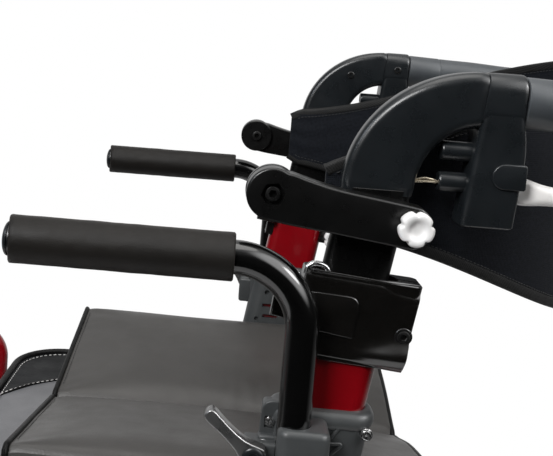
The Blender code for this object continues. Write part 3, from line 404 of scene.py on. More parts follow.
newFinish("pouchSkin", (0.112, 0.113, 0.119), (0.154, 0.154, 0.161), 13, (0.40, 0.55), 520, 0.00025, 0.5,
          "pebble", spec=0.42)
newFinish("pipingVinyl", grey(0.0030), grey(0.0060), 40, (0.38, 0.50), 800, 0.00016, 0.5, "pebble", spec=0.14)
newFinish("meshCloth", (0.0012, 0.0016, 0.0028), (0.0084, 0.0100, 0.0136), 300, (0.70, 0.84), 190, 0.0004,
          0.5, "woven", "UV", 0.3, spec=0.1, sheen=0.02)
newFinish("bindingTape", grey(0.0036), grey(0.0085), 25, (0.55, 0.70), 240, 0.0003, 0.6, "twist", shade=0.4,
          spec=0.25)
newFinish("whiteThread", grey(0.50, 0.02), grey(0.68, 0.02), 200, (0.6, 0.75), 900, 0.0002, 0.6, "twist",
          shade=0.3)
newFinish("blackThread", grey(0.008), grey(0.018), 200, (0.55, 0.7), 900, 0.0002, 0.6, "twist", shade=0.3)
newFinish("leverGrey", grey(0.18), grey(0.26), 30, (0.24, 0.34), 1000, 0.00008, 0.4, metal=0.85)
newFinish("flapVinyl", (0.0050, 0.0053, 0.0060), (0.0090, 0.0095, 0.0105), 16, (0.42, 0.55), 520, 0.00022,
          0.5, "pebble", spec=0.1)
newFinish("boltSteel", grey(0.52), grey(0.72), 60, (0.18, 0.30), 900, 0.00004, 0.4, metal=1.0)
newFinish("boltBlack", grey(0.004), grey(0.009), 60, (0.24, 0.36), 900, 0.00004, 0.4)
newFinish("cableSteel", (0.40, 0.34, 0.25), (0.62, 0.55, 0.43), 80, (0.22, 0.34), 1200, 0.00005, 0.4,
          metal=0.9)
newFinish("tyreRubber", grey(0.010), grey(0.019), 26, (0.66, 0.84), 620, 0.0002, 0.5)
newFinish("wheelGrey", grey(0.085), grey(0.118), 18, (0.34, 0.48), 900, 0.00008, 0.4)
newFinish("treadPlastic", grey(0.010), grey(0.017), 24, (0.46, 0.60), 800, 0.00016, 0.5)
print("finishes", len(finishes))


# node trees for what repeats
def newTree(name, **inputs):
    tree = bpy.data.node_groups.new(name, "GeometryNodeTree")
    inputs["Finish"] = "Material"
    for label, kind in [("Geometry", "Geometry")] + list(inputs.items()):
        tree.interface.new_socket(label, in_out="INPUT", socket_type="NodeSocket" + kind)
    tree.interface.new_socket("Geometry", in_out="OUTPUT", socket_type="NodeSocketGeometry")
    return tree, tree.nodes.new("NodeGroupInput").outputs


def geoNode(tree, kind, links=None, values=None, props=None):
    return treeNode(tree, "GeometryNode" + kind, links, values, props).outputs[0]


def aimNode(tree, way):
    turn = treeNode(tree, "FunctionNodeAlignRotationToVector", {"Vector": way}, props={"axis": "Z"})
    return turn.outputs[0]


def closeTree(tree, given, points, item, turn=None):
    # copies of the item on the points, made solid and given their finish
    links = {"Points": points, "Instance": item}
    if turn is not None:
        links["Rotation"] = turn
    solid = geoNode(tree, "RealizeInstances", {"Geometry": geoNode(tree, "InstanceOnPoints", links)})
    coat = geoNode(tree, "SetMaterial", {"Geometry": solid, "Material": given["Finish"]})
    tree.links.new(coat, tree.nodes.new("NodeGroupOutput").inputs[0])
    return tree


def stitchTree():
    # one long bead for each pitch along an edge line
    tree, given = newTree("stitchRun", Pitch="Float", Length="Float", Thick="Float")
    line = geoNode(tree, "MeshToCurve", {"Mesh": given["Geometry"]})
    spots = geoNode(tree, "ResampleCurve", {"Curve": line, "Length": given["Pitch"]},
                    props={"mode": "LENGTH"})
    ball = geoNode(tree, "MeshUVSphere", values={"Segments": 8, "Rings": 6, "Radius": 0.5})
    sizes = {"X": given["Thick"], "Y": given["Thick"], "Z": given["Length"]}
    size = treeNode(tree, "ShaderNodeCombineXYZ", sizes).outputs[0]
    bead = geoNode(tree, "Transform", {"Geometry": ball, "Scale": size})
    return closeTree(tree, given, spots, bead, aimNode(tree, geoNode(tree, "InputTangent")))


def boltTree():
    # one bolt on every point, turned to the point's own aim
    tree, given = newTree("boltSpots", Bolt="Object")
    bolt = treeNode(tree, "GeometryNodeObjectInfo", {"Object": given["Bolt"]}).outputs["Geometry"]
    aim = geoNode(tree, "InputNamedAttribute", values={"Name": "aim"}, props={"data_type": "FLOAT_VECTOR"})
    return closeTree(tree, given, given["Geometry"], bolt, aimNode(tree, aim))


def wheelTree():
    # copies of a piece round an axle along Y
    tree, given = newTree("wheelRepeat", Count="Int", Axle="Vector")
    back = treeNode(tree, "ShaderNodeVectorMath", {0: given["Axle"]}, {1: (-1, -1, -1)},
                    {"operation": "MULTIPLY"})
    item = geoNode(tree, "Transform", {"Geometry": given["Geometry"], "Translation": back.outputs[0]})
    spots = geoNode(tree, "Points", {"Count": given["Count"], "Position": given["Axle"]})
    step = mathNode(tree, "DIVIDE", 2 * pi, given["Count"])
    angle = mathNode(tree, "MULTIPLY", geoNode(tree, "InputIndex"), step)
    spin = treeNode(tree, "ShaderNodeCombineXYZ", {"Y": angle}).outputs[0]
    return closeTree(tree, given, spots, item, spin)


def rowTree():
    # copies of a piece in a straight row
    tree, given = newTree("rowRepeat", Count="Int", Step="Vector")
    where = treeNode(tree, "ShaderNodeVectorMath", {0: given["Step"], "Scale": geoNode(tree, "InputIndex")},
                     props={"operation": "SCALE"}).outputs[0]
    spots = geoNode(tree, "Points", {"Count": given["Count"], "Position": where})
    return closeTree(tree, given, spots, given["Geometry"])


trees = {"stitch": stitchTree(), "bolt": boltTree(), "wheel": wheelTree(), "row": rowTree()}


def grow(side, name, bm, tree, finish, body, slot=None, lift=0.0, sharp=40, **values):
    obj = spareObject(bm)
    step = obj.modifiers.new("grow", "NODES")
    step.node_group = trees[tree]
    values["Finish"] = finishes[finish]
    for socket in trees[tree].interface.items_tree:
        if socket.in_out == "INPUT" and socket.name in values:
            step[socket.identifier] = values[socket.name]
    return addPiece(side, name, bakedShape(obj), finish, body, None, slot, lift, sharp)


def stitches(side, name, paths, finish, body, slot, pitch, length, thick):
    bm = bmesh.new()
    for path in paths:
        verts = [bm.verts.new(p) for p in path]
        for a, b in zip(verts, verts[1:]):
            bm.edges.new((a, b))
    return grow(side, name, bm, "stitch", finish, body, slot, Pitch=pitch, Length=length, Thick=thick)


# head radius, height, socket radius and washer radius of each bolt
boltSizes = dict(arm=(0.0058, 0.0036, 0.0032, 0.0), screw=(0.0042, 0.0014, 0.0021, 0.0),
                 clamp=(0.0046, 0.0030, 0.0026, 0.0066), hub=(0.0036, 0.0028, 0.0021, 0.0048),
                 frame=(0.0058, 0.0036, 0.0032, 0.0080), caster=(0.0066, 0.0040, 0.0036, 0.0),
                 brace=(0.0085, 0.0040, 0.0042, 0.0))


def socketBolt(radius, height, hexRadius, washer):
    # round head with a six-sided socket, standing on Z
    cap = lathe([(0, -0.002), (radius, -0.002), (radius, height * 0.78), (radius * 0.93, height * 0.95),
                 (radius * 0.84, height), (0, height)], (0, 0, 0), alongZ, 32)
    turn = Matrix.Rotation(radians(5), 3, "Z")  # keeps its corners off the head's own edges
    hexagon = [turn @ Vector((*p, 0)) for p in circleLoop(hexRadius, 6)]
    bm = carve(cap, [loft([[p + alongZ * z for p in hexagon] for z in (-0.0012, height + 0.004)])])
    if washer:
        inner = radius * 0.9
        lathe([(inner, -0.001), (washer, -0.001), (washer, 0.0006), (washer * 0.94, 0.0010), (inner, 0.0010)],
              (0, 0, 0), alongZ, 32, bm)
    return bm


def bolts(side, name, spots, finish, body, size, slot=None, lift=0.0):
    bm = bmesh.new()
    aim = bm.verts.layers.float_vector.new("aim")
    for place, way in spots:
        bm.verts.new(place)[aim] = way
    bolt = spareObject(socketBolt(*boltSizes[size]))
    grow(side, name, bm, "bolt", finish, body, slot, lift, 30, Bolt=bolt)
    bpy.data.objects.remove(bolt, do_unlink=True)


# armrests
armrest = dict(radius=0.0127, bend=0.053, low=0.5688, foamRadius=0.0180, foamFront=-0.0010, foamRear=0.1664,
               foamGap=0.0003, foamLumps=0.00022, hollow=0.20, plugReach=0.0042, plugWide=1.02)


def makeArmrest(side):
    x, y, z = chair["armX"], chair["armY"], chair["armZ"]
    r, wide, front, rear = (armrest[k] for k in ("radius", "foamRadius", "foamFront", "foamRear"))
    path = filletPath([(x, y, armrest["low"]), (x, y, z), (front + 0.002, y, z)], armrest["bend"], 28)
    bar = sweep(path, circleLoop(r, 44))
    addPiece(side, "ArmrestBar", bar, "glossBlack", "armrest", "armrest_tube", "gloss_black")
    shape = [(0, -0.003), (r * 0.93, -0.003), (r * 0.93, -0.0005), (r, -0.0005)]
    shape += arc(r * armrest["plugWide"], range(0, 91, 9), high=armrest["plugReach"])
    plug = lathe(shape, (front, y, z), -alongX, 44)
    addPiece(side, "ArmrestPlug", plug, "satinPlastic", "armrest", None, "gloss_black")
    eased = ((0.0, 0.0016), (0.0004, 0.0007), (0.0012, 0.0))  # distance from the end, loss of radius
    outer = [(wide - ease, front + d) for d, ease in eased]
    outer += [(wide, front + 0.0012 + (rear - front - 0.0024) * i / 56) for i in range(1, 57)]
    outer += [(wide - ease, rear - d) for d, ease in eased[1::-1]]
    bore = r + armrest["foamGap"]
    sleeve = lathe([(bore, front)] + outer + [(bore, rear)], (0, y, z), alongX, 72)
    for v in sleeve.verts:  # cut foam isn't quite true, and its front end is hollowed
        v.co.x += armrest["hollow"] * abs(v.co.y - y) * (1 - smoothStep(front, front + 0.03, v.co.x))
        out = Vector((0, v.co.y - y, v.co.z - z))
        if out.length > r + 0.002:
            lump = noise.noise(v.co * 70) + 0.5 * noise.noise(v.co * 190)
            v.co += out.normalized() * (lump * armrest["foamLumps"])
    foam = addPiece(side, "ArmrestFoam", sleeve, "foamSleeve", "armrest", "armrest_foam", "foam")


# arms of the backrest, with their bolts and star knobs
backArm = dict(bossX=0.1906, bossZ=0.7767, bossRadius=0.0195, length=0.104, tilt=radians(8.6),
               inner=0.2388, thick=0.0205, hexRadius=0.0090, hexDeep=0.006, edge=0.0042, innerBoss=0.005)
starKnob = dict(radius=0.0129, lobes=5, notch=0.17, notchWidth=0.20, firstNotch=radians(20), points=100)


def armPoint(along, up):
    c, t = cos(backArm["tilt"]), sin(backArm["tilt"])
    return Vector((backArm["bossX"] + along * c + up * t, 0, backArm["bossZ"] - along * t + up * c))


def starKnobMesh(x, y, z, way=1, turn=0.0):
    # a row is the height, the share of the radius and the share of the notches
    rows = ((0.0, 0.70, 1.0), (0.0014, 0.90, 1.0), (0.0034, 0.98, 1.0), (0.0085, 1.0, 1.0),
            (0.0112, 0.985, 1.0), (0.0127, 0.94, 0.95), (0.0134, 0.86, 0.8), (0.0135, 0.72, 0.35),
            (0.0132, 0.60, 0.1), (0.0122, 0.50, 0.0), (0.0106, 0.42, 0.0), (0.0097, 0.30, 0.0),
            (0.0094, 0.12, 0.0))
    step = 2 * pi / starKnob["lobes"]
    rings = []
    for out, k, cut in rows:
        ring = []
        for i in range(starKnob["points"]):
            a = 2 * pi * i / starKnob["points"]
            off = (a - starKnob["firstNotch"] - turn + step / 2) % step - step / 2
            dip = starKnob["notch"] * exp(-(off / starKnob["notchWidth"]) ** 2 * 1.6)
            r = starKnob["radius"] * k * (1 - dip * cut)
            ring.append(Vector((x + r * cos(a), y + way * out, z + r * sin(a))))
        rings.append(ring)
    return loft(rings)


def makeBackArm(side):
    boss, long, x, z = (backArm[k] for k in ("bossRadius", "length", "bossX", "bossZ"))
    y0, y1 = backArm["inner"], backArm["inner"] + backArm["thick"]
    pit, under = y1 - backArm["hexDeep"], y0 - backArm["innerBoss"]
    flat = arc(boss, range(66, 270, 12))
    flat += [(0.006, -0.0196), (0.015, -0.0198), (0.030, -0.0193), (0.046, -0.0187), (0.075, -0.0180),
             (long, -0.0172)]
    flat += arc(0.0145, range(-72, 73, 18), long, -0.0014, 0.0156)
    flat += [(long, 0.0144), (0.075, 0.0143), (0.055, 0.0141), (0.042, 0.0144), (0.031, 0.0153),
             (0.021, 0.0165), (0.0135, 0.0176)]
    outline = [(p.x, p.z) for p in smoothPath([armPoint(a, b) for a, b in flat], 3, True)]
    hexagon = arc(backArm["hexRadius"], range(8, 360, 60), x, z)
    bar = carve(slab(outline, y0, y1, backArm["edge"], 5), [slab(hexagon, pit, y1 + 0.004)])
    lathe([(0, 0), (boss - 0.0012, 0), (boss + 0.0003, 0.0014), (boss + 0.0003, 0.007), (0, 0.007)],
          (x, under, z), alongY, 64, bar)
    addPiece(side, "BackArm", bar, "armPlastic", "handle", "back_arm", "black_plastic", sharp=32)
    bolts(side, "BackArmBolts", [((x, pit, z), alongY), ((x, under, z), -alongY)], "boltBlack", "handle",
          "arm")
    knobX, _, knobZ = armPoint(long, 0)
    knob = starKnobMesh(knobX, y1 + 0.0003, knobZ)
    addPiece(side, "StarKnob", knob, "whitePlastic", "knob", "knob", "white_plastic", sharp=50)


# handles: tube, elbow, brake housing, lever, cable and grip
handle = dict(tubeWidth=0.052, tubeThick=0.019, tubeLow=0.519, elbowLip=0.001, elbowRise=0.0513,
              elbowThick=0.032, skirt=0.0045, deep=0.041, collarThick=0.0347, housingLow=0.7618,
              housingThick=0.031, housingLean=0.1001, barrelRadius=0.0075, barrelFront=0.3136,
              barrelUp=(0.8156, 0.7924), cableFront=0.2925, gripLong=0.140, gripRadius=0.0180,
              gripSlope=radians(2.3), leverX=0.35724, leverZ=0.7948, leverThick=0.009, leverGap=0.0052)


def makeElbow():
    seam, low, rise = chair["seamX"], chair["elbowZ"], handle["elbowRise"]
    half = handle["tubeWidth"] / 2 + handle["elbowLip"]
    outer = (seam - (postAt(low) - half), rise + handle["deep"])
    inner = (seam - (postAt(low) + half), rise)
    rings = []
    last = 44
    for i in range(last + 1):
        t = pi / 2 * i / last
        o, q = (Vector((seam - run * cos(t), postY, low + up * sin(t)))
                for run, up in (outer, inner))
        k = smoothStep(0, 1, i / last) ** 2
        thick = handle["tubeThick"] + (handle["elbowThick"] - handle["tubeThick"]) * k
        across = (o - q).normalized()
        cut = 0.0014 if i in (0, last) else 0.0
        loop = roundedLoop((o - q).length - cut, thick - cut, 0.0064 + 0.0020 * k, 8)
        rings.append([(o + q) / 2 + across * a + alongY * b for a, b in loop])
    skirt = Vector((-tan(chair["lean"]), 0, -1)) * handle["skirt"]
    foot = rings[0] = [(a + b) / 2 for a, b in zip(rings[0], rings[1])]
    for drop, k in ((0.86, 1.0), (1.0, 0.988)):
        middle = sum(foot, Vector()) / len(foot) + skirt * drop
        rings.insert(0, [middle + (v - middle + skirt * drop) * k for v in foot])
    return loft(rings)


def makeHousing():
    seam, end, up, lean = chair["seamX"], chair["collarEnd"], chair["handleZ"], handle["housingLean"]
    low, thick, gap = handle["housingLow"], handle["housingThick"], handle["leverGap"]
    # collar: place along X, share of its size, share of the lean
    collar = ((seam - 0.0010, 0.975, 1.0), (seam - 0.0006, 1.0, 1.0), (seam + 0.0015, 1.012, 0.95),
              ((seam + end) / 2, 1.015, 0.5), (end - 0.003, 1.01, 0.05), (end - 0.0010, 0.998, 0.0),
              (end, 0.965, 0.0))
    loop = roundedLoop(handle["deep"], handle["collarThick"], 0.0135, 8)
    bm = loft([[Vector((x + lean * tip * a, postY + b * k, up + a * k)) for a, b in loop]
               for x, k, tip in collar])
    # box: height, rear face, share of the thickness
    box = ((low + 0.0010, 0.3688, 1.0), (0.775, 0.3697, 1.0), (0.790, 0.3709, 1.0), (0.803, 0.3719, 1.0),
           (0.811, 0.3724, 1.0), (0.820, 0.3722, 1.02), (0.827, 0.3714, 1.05), (0.8345, 0.3701, 1.09),
           (0.842, 0.3688, 1.11), (0.852, 0.3678, 1.12))
    rows = [(z, 0.3304 + lean * (z - 0.7683), rear, k) for z, rear, k in box]
    rows.insert(0, (low, rows[0][1] + 0.0011, rows[0][2] - 0.0011, 0.93))
    rows = [((x0 + x1) / 2, postY, z, x1 - x0, thick * k, 0.0046) for z, x0, x1, k in rows]
    slot = block((handle["leverX"] - 0.012, postY - gap, handle["leverZ"] - 0.028),
                 (0.395, postY + gap, handle["leverZ"] + 0.026), 0.0004, 1)
    addInto(bm, carve(stack(rows, 6), [slot]))
    face = postY + thick / 2
    tab = arc(0.0094, range(90, 271, 12), 0.3580, 0.8008)
    tab += [(0.3722, 0.7914), (0.3734, 0.7926), (0.3734, 0.8090), (0.3722, 0.8102)]
    return slab(tab, face - 0.002, face + 0.0022, 0.0010, 3, bm)


def makeBarrels():
    r, bm = handle["barrelRadius"], bmesh.new()
    shape = [(0, 0.0004), (r * 0.40, 0.0004), (r * 0.44, 0.0), (r * 0.90, 0.0), (r * 0.98, 0.0007),
             (r, 0.0018), (r, 0.0225), (0, 0.0225)]
    for z in handle["barrelUp"]:
        lathe(shape, (handle["barrelFront"], postY, z), alongX, 36, bm)
    return bm


def makeLever():
    # a row is the place along X, the height, the share of the thickness and the drop
    rows = ((-0.0085, 0.006, 1.0, 0.0), (-0.006, 0.013, 1.0, -0.0005), (0.0, 0.018, 1.0, -0.0015),
            (0.010, 0.0202, 1.0, -0.0040), (0.0175, 0.0212, 1.0, -0.0056), (0.022, 0.0202, 1.3, -0.0061),
            (0.028, 0.0178, 1.65, -0.0068), (0.034, 0.0155, 1.75, -0.0074), (0.041, 0.0140, 1.8, -0.0079),
            (0.056, 0.0134, 1.8, -0.0086), (0.075, 0.0130, 1.8, -0.0095), (0.094, 0.0125, 1.8, -0.0105),
            (0.112, 0.0119, 1.78, -0.0116), (0.126, 0.0111, 1.7, -0.0124), (0.1318, 0.0092, 1.4, -0.0125),
            (0.133, 0.0065, 1.0, -0.0125))
    rings = []
    for x, high, k, drop in rows:
        thick = handle["leverThick"] * k
        loop = roundedLoop(high, thick, min(high, thick) * 0.42, 5)
        rings.append([Vector((handle["leverX"] + x, postY + b, handle["leverZ"] + drop + a))
                      for a, b in loop])
    return loft(rings)


def makeGrip():
    r, long, slope = handle["gripRadius"], handle["gripLong"], handle["gripSlope"]
    shape = [(0.0, 0.0), (1.02, 0.0), (1.06, 0.0006), (1.075, 0.002), (1.075, 0.0352), (1.06, 0.0364),
             (1.035, 0.0367), (1.035, 0.0373), (1.055, 0.0377), (1.065, 0.0390)]
    for i in range(17):
        f = i / 16
        shape.append((1.065 - 0.035 * f + 0.03 * sin(pi * f) ** 2, 0.0400 + 0.0780 * f))
    for i in range(4):
        d = 0.1190 + 0.0030 * i
        shape += [(1.005, d), (1.03, d + 0.0008), (1.03, d + 0.0020), (1.005, d + 0.0027)]
    shape += [(1.03, 0.1318), (1.10, 0.1332), (1.10, 0.1370), (1.04, 0.1390), (0.86, long), (0, long)]
    start = (chair["collarEnd"] + 0.0003 + r * 1.08 * tan(slope), postY, chair["handleZ"])
    return lathe([(r * k, d) for k, d in shape], start, (cos(slope), 0, -sin(slope)), 56)


def makeCable():
    # inner wire in its thin sleeve, bowed a little between barrel and elbow
    z, x0, x1 = handle["barrelUp"][1], handle["cableFront"], handle["barrelFront"] + 0.002
    bm = bmesh.new()
    for radius, rise, shift in ((0.00105, 0.0030, 0.0), (0.00075, 0.0008, 0.0012)):
        path = []
        for i in range(25):
            f = i / 24
            high = z - 0.0012 + rise * sin(pi * f) - 0.0012 * f
            path.append(Vector((x1 + (x0 - x1) * f, postY + shift, high)))
        sweep(path, circleLoop(radius, 12), into=bm)
    return bm


def makeHandle(side):
    lift = chair["lift"][side]
    top = chair["elbowZ"] + lift * cos(chair["lean"]) + 0.001
    tube = leanPrism(handle["tubeWidth"], handle["tubeThick"], handle["tubeLow"], top, 0.0094, 0.0006)
    addPiece(side, "InnerTube", tube, "powderBlack", "handle", "inner_tube", "black_tube")
    for name, bm, finish, node, slot, sharp in (
            ("Elbow", makeElbow(), "satinPlastic", "elbow", "black_plastic", 40),
            ("BrakeHousing", makeHousing(), "satinPlastic", "brake_housing", "black_plastic", 34),
            ("BrakeBarrels", makeBarrels(), "satinPlastic", None, "black_plastic", 34),
            ("Grip", makeGrip(), "gripRubber", "grip", "grip_rubber", 34),
            ("BrakeCable", makeCable(), "cableSteel", "cable", "cable", 40)):
        addPiece(side, name, bm, finish, "handle", node, slot, lift, sharp)
    addPiece(side, "BrakeLever", makeLever(), "creamPlastic", "brake_lever", "brake_lever", "white_plastic",
             lift, 60, 1)
    spots = ((0.298, 0.0124, 0.845), (0.354, 0.0174, 0.8548), (0.3545, 0.0155, 0.776))
    screws = [((x, postY - inset, z), -alongY) for x, inset, z in spots]
    bolts(side, "HandleScrews", screws, "boltBlack", "handle", "screw", lift=lift)


# backrest band, a stretched mesh in two halves that meet in the middle
band = dict(y=0.21635, front=0.232, flat=0.045, bulge=0.223, low=0.033, high=0.120, middle=0.781,
            drop=0.006, skin=0.0026, swell=0.0012, crease=0.0005, hem=0.0021, seam=0.0085, keep=0.478,
            anchor=(0.35, 0.78), stitch=(0.0042, 0.0032, 0.0009),
            clip=dict(left=(0.52, 0.045), right=(0.14, 0.013)))


def bandRows(side):
    # a row is the place, the way out, the run so far, half the height and the middle's height
    path = [Vector((band["front"] + band["flat"] * i / 10, band["y"], 0)) for i in range(10)]
    for i in range(65):
        a = pi / 2 * i / 64
        x = band["front"] + band["flat"] + band["bulge"] * sin(a) ** 1.6
        path.append(Vector((x, band["y"] * cos(a), 0)))
    cut, reach = band["clip"][side]
    run = [0.0]
    for p, q in zip(path, path[1:]):
        run.append(run[-1] + (q - p).length)
    rows = []
    last = len(path) - 1
    for i, p in enumerate(path):
        t = (path[min(i + 1, last)] - path[max(i - 1, 0)]).normalized()
        out = alongX if i == last else Vector((-t.y, t.x, 0))
        f = run[i] / run[-1]
        high = band["low"] + (band["high"] - band["low"]) * sin(f * pi / 2) ** 1.6
        high *= 1 - cut * max(0.0, 1 - run[i] / reach)
        rows.append((p, out, run[i], high, band["middle"] - band["drop"] * f))
    return rows


def bandSpot(row, c, off):
    p, out, _, high, z = row
    return p + out * off + alongZ * (z + c * high)


def makeBand(side):
    rows = bandRows(side)
    bm = bmesh.new()
    uv = bm.loops.layers.uv.new("UVMap")
    spots, rings = {}, []
    n = 18
    for row in rows:
        run, high, z = row[2:]
        ring = []
        for face in (-1, 1):
            for i in range(n + 1):
                c = (-1 + 2 * i / n) * face
                wave = sin(c * 11 + 5 * noise.noise(Vector((run * 20, 0, 3))))
                off = band["skin"] if face > 0 else -(band["skin"] + band["swell"] * (1 - c * c))
                v = bm.verts.new(bandSpot(row, c, off + band["crease"] * exp(-run / 0.10) * wave))
                spots[v] = (run, z + c * high)
                ring.append(v)
        rings.append(ring)
    for a, b in zip(rings, rings[1:]):
        bridge(bm, a, b)
    for ring in (rings[0], rings[-1]):
        for i in range(n):
            bm.faces.new((ring[i], ring[i + 1], ring[2 * n - i], ring[2 * n + 1 - i]))
    bmesh.ops.recalc_face_normals(bm, faces=bm.faces)
    for face in bm.faces:
        for corner in face.loops:
            corner[uv].uv = spots[corner.vert]
    area = sum(f.calc_area() for f in bm.faces) / 2
    cloth = addPiece(side, "BandMesh", bm, "meshCloth", "handle", "backrest", "mesh_fabric")
    hems = bmesh.new()
    tape = roundedLoop(2 * band["hem"] + 0.006, 2 * (band["skin"] + 0.0007), 0.0030, 4)
    for way in (-1, 1):
        line = []
        for row in rows:
            inset = 0.0035 + 0.0012 * (1 - smoothStep(0, 0.008, row[2]))
            line.append(bandSpot(row, -way, 0) + alongZ * (way * inset))
        sweep(line, [(b, a) for a, b in tape], alongZ, hems)
    hem = addPiece(side, "BandHem", hems, "bindingTape", "handle", None, "mesh_fabric")
    lines = []
    for way in (1, -1):
        for face in (-1, 1):
            off = face * (band["skin"] + 0.0010)
            lines.append([bandSpot(row, way * (1 - band["seam"] / row[3]), off) for row in rows[2:]])
    sewn = stitches(side, "BandStitches", lines, "blackThread", "handle", "mesh_fabric", *band["stitch"])
    x, z = band["anchor"]
    foldFlat((cloth, hem, sewn))


# posts and their pressed clamps
clamp = dict(z=0.686, front=0.0383, rear=0.0495, high=0.072, half=0.0155, slit=0.0030, show=0.22,
             faceThick=0.0012, faceLow=-0.0378, faceRake=0.0056, faceHigh=0.0668, bulge=0.0062, sink=0.0050,
             lip=0.0014, hook=0.0022)
clampMiddle = Vector((postAt(clamp["z"]), 0, clamp["z"]))


def clampSpot(a, h, y=0.0):
    return clampMiddle + postBack * a + postUp * h + alongY * y


def clampOutline(points):
    return [(p.x, p.z) for p in (clampSpot(a, h) for a, h in points)]


def clampFace(y):
    # pressed cover with a half cone swelling towards its lower rear corner
    cols, rows = 66, 54
    bm = bmesh.new()
    rims = []
    for back in (0, 1):
        grid = []
        for j in range(rows + 1):
            line = []
            for i in range(cols + 1):
                a = -clamp["front"] + 0.0006 + (clamp["front"] + clamp["rear"] - 0.0012) * i / cols
                h = clamp["faceLow"] + clamp["faceRake"] * i / cols + clamp["faceHigh"] * j / rows
                ridge = -0.0262 + (a - 0.010) * 0.165
                wide = 0.0035 + 0.0062 * smoothStep(0.0, 0.05, a)
                rise = clamp["bulge"] * smoothStep(0.004, 0.046, a) * exp(-((h - ridge) / wide) ** 2)
                rise -= clamp["sink"] * smoothStep(0.0235, 0.0345, h) * smoothStep(0.016, 0.044, a)
                rise -= (0.0018 * smoothStep(0.93, 1.0, j / rows)
                         + 0.0014 * smoothStep(0.94, 1.0, 1 - j / rows))
                line.append(bm.verts.new(clampSpot(a, h, y + rise - back * clamp["faceThick"])))
            grid.append(line)
        for low, high in zip(grid, grid[1:]):
            for i in range(cols):
                quad = (low[i], low[i + 1], high[i + 1], high[i])
                bm.faces.new(quad[::-1] if back else quad)
        rims.append(grid[0] + [l[-1] for l in grid[1:-1]] + grid[-1][::-1] + [l[0] for l in grid[-2:0:-1]])
    bridge(bm, rims[1], rims[0])
    bmesh.ops.recalc_face_normals(bm, faces=bm.faces)
    return bm


def makePost(side):
    wide, thick, gap = chair["postWidth"], chair["postThick"], chair["postGap"]
    bore = (handle["tubeWidth"] + gap, handle["tubeThick"] + gap)
    rows = ((0.3283, wide, thick), (0.7082, wide, thick), (0.7088, wide - 0.0004, thick - 0.0004),
            (0.7090, wide - 0.0012, thick - 0.0012), (0.7090, *bore), (0.4690, *bore))
    post = stack([(postAt(z), postY, z, w, t, t / 2) for z, w, t in rows], 14)
    addPiece(side, "Post", post, "redPaint", "frame", "post", "red_paint")


def makeClamp(side):
    y, half, front, rear = postY, clamp["half"], clamp["front"], clamp["rear"]
    middle, slit = (rear - front) / 2, clamp["slit"] / 2
    rings = []
    for h, cut in ((-0.0360, 0.0006), (-0.0353, 0.0), (0.0303, 0.0), (0.0310, 0.0006)):
        loop = roundedLoop(front + rear - 2 * cut, 2 * (half - cut), 0.005, 6)
        rings.append([clampSpot(middle + a, h + 0.0040 * (middle + a) / rear, y + b) for a, b in loop])
    gap = block((clampMiddle.x + 0.029, y - slit, 0.62), (0.36, y + slit, 0.75), 0.0002, 1)
    loop = roundedLoop(0.075, 0.008, 0.0005, 1)
    bare = loft([[clampSpot(-0.0075 + a, h, y - half + 0.002 + b) for a, b in loop]
                 for h in (-0.06, -clamp["show"] * clamp["high"])])
    bm = carve(loft(rings), [postHole(clamp["z"] - 0.06, clamp["z"] + 0.06), gap, bare])
    face = y + half + 0.0004
    slot = clampOutline([(0.0055, -0.0088), (0.0160, -0.0088), (0.0172, -0.0076), (0.0166, 0.0052),
                         (0.0152, 0.0064), (0.0055, 0.0064)])
    addInto(bm, carve(clampFace(face), [slab(slot, face - 0.004, face + 0.004)]))
    cover = [(-0.0385, -0.0150), (0.0066, -0.0150), (0.0066, 0.0085)]
    cover += arc(0.0080, range(15, 91, 15), -0.0014, 0.0085) + [(-0.0385, 0.0132)]
    slab(clampOutline(cover), face - 0.001, face + 0.0021, 0.0009, 3, bm)
    lip = []
    for i in range(32):
        a = 0.0478 - 0.0026 * i
        out = face - 0.0018 - 0.0046 * smoothStep(0.016, 0.044, a)
        lip.append(clampSpot(a, 0.0290 + 0.0052 * (a + front) / (front + rear), out))
    sweep(lip, circleLoop(clamp["lip"], 12), into=bm)
    hook = [(-0.0215, 0.0270), (-0.0222, 0.0310), (-0.0250, 0.0338), (-0.0300, 0.0345), (-0.0345, 0.0335),
            (-0.0375, 0.0300), (-0.0380, 0.0255)]
    wire = sweep(smoothPath([clampSpot(a, h, face - 0.0030) for a, h in hook], 6),
                 circleLoop(clamp["hook"], 16))
    addPiece(side, "ClampHook", wire, "boltSteel", "frame", None, "gloss_black")
    latch = [(0.1985, 0.6735), (0.2205, 0.6700), (0.2235, 0.6985), (0.2015, 0.7010)]
    slab(latch, y - half - 0.0085, y - half + 0.001, 0.0018, 3, bm)
    addPiece(side, "Clamp", bm, "clampPaint", "frame", "bracket", "gloss_black", sharp=36)
    spot = clampSpot(0.0438, -0.0046, face)
    bolts(side, "ClampBolt", [(spot, alongY)], "boltBlack", "frame", "clamp", "gloss_black")
    spot = clampSpot(0.0470, -0.0240)
    knob = starKnobMesh(spot.x, y - half - 0.0003, spot.z, -1, 0.4)
    bmesh.ops.recalc_face_normals(knob, faces=knob.faces)
    addPiece(side, "ClampKnob", knob, "whitePlastic", "frame", None, "white_plastic", sharp=50)


# seat hubs with the armrest sockets, and the levers that free the armrests
hub = dict(low=0.4570, top=0.6125, wide=0.078, thick=0.038, rimWide=0.0824, rimThick=0.0424,
           socketTop=0.6075, socketLow=0.5475, socketX=0.2270, socketY=0.2622, socketWide=0.0386,
           socketThick=0.0365, socketGap=0.0003, tunnel=0.0113, lugHalf=0.025, lugTop=0.4870, rod=0.0014,
           ribs=4, ribTop=0.566, ribStep=0.028, ribHalf=0.022)
release = dict(x=0.1915, z=0.580, angle=radians(138.6), length=0.049, inner=0.2583, thick=0.0115,
               boss=0.0105)


def hubHole():
    return postHole(hub["low"] - 0.02, hub["top"] + 0.02)


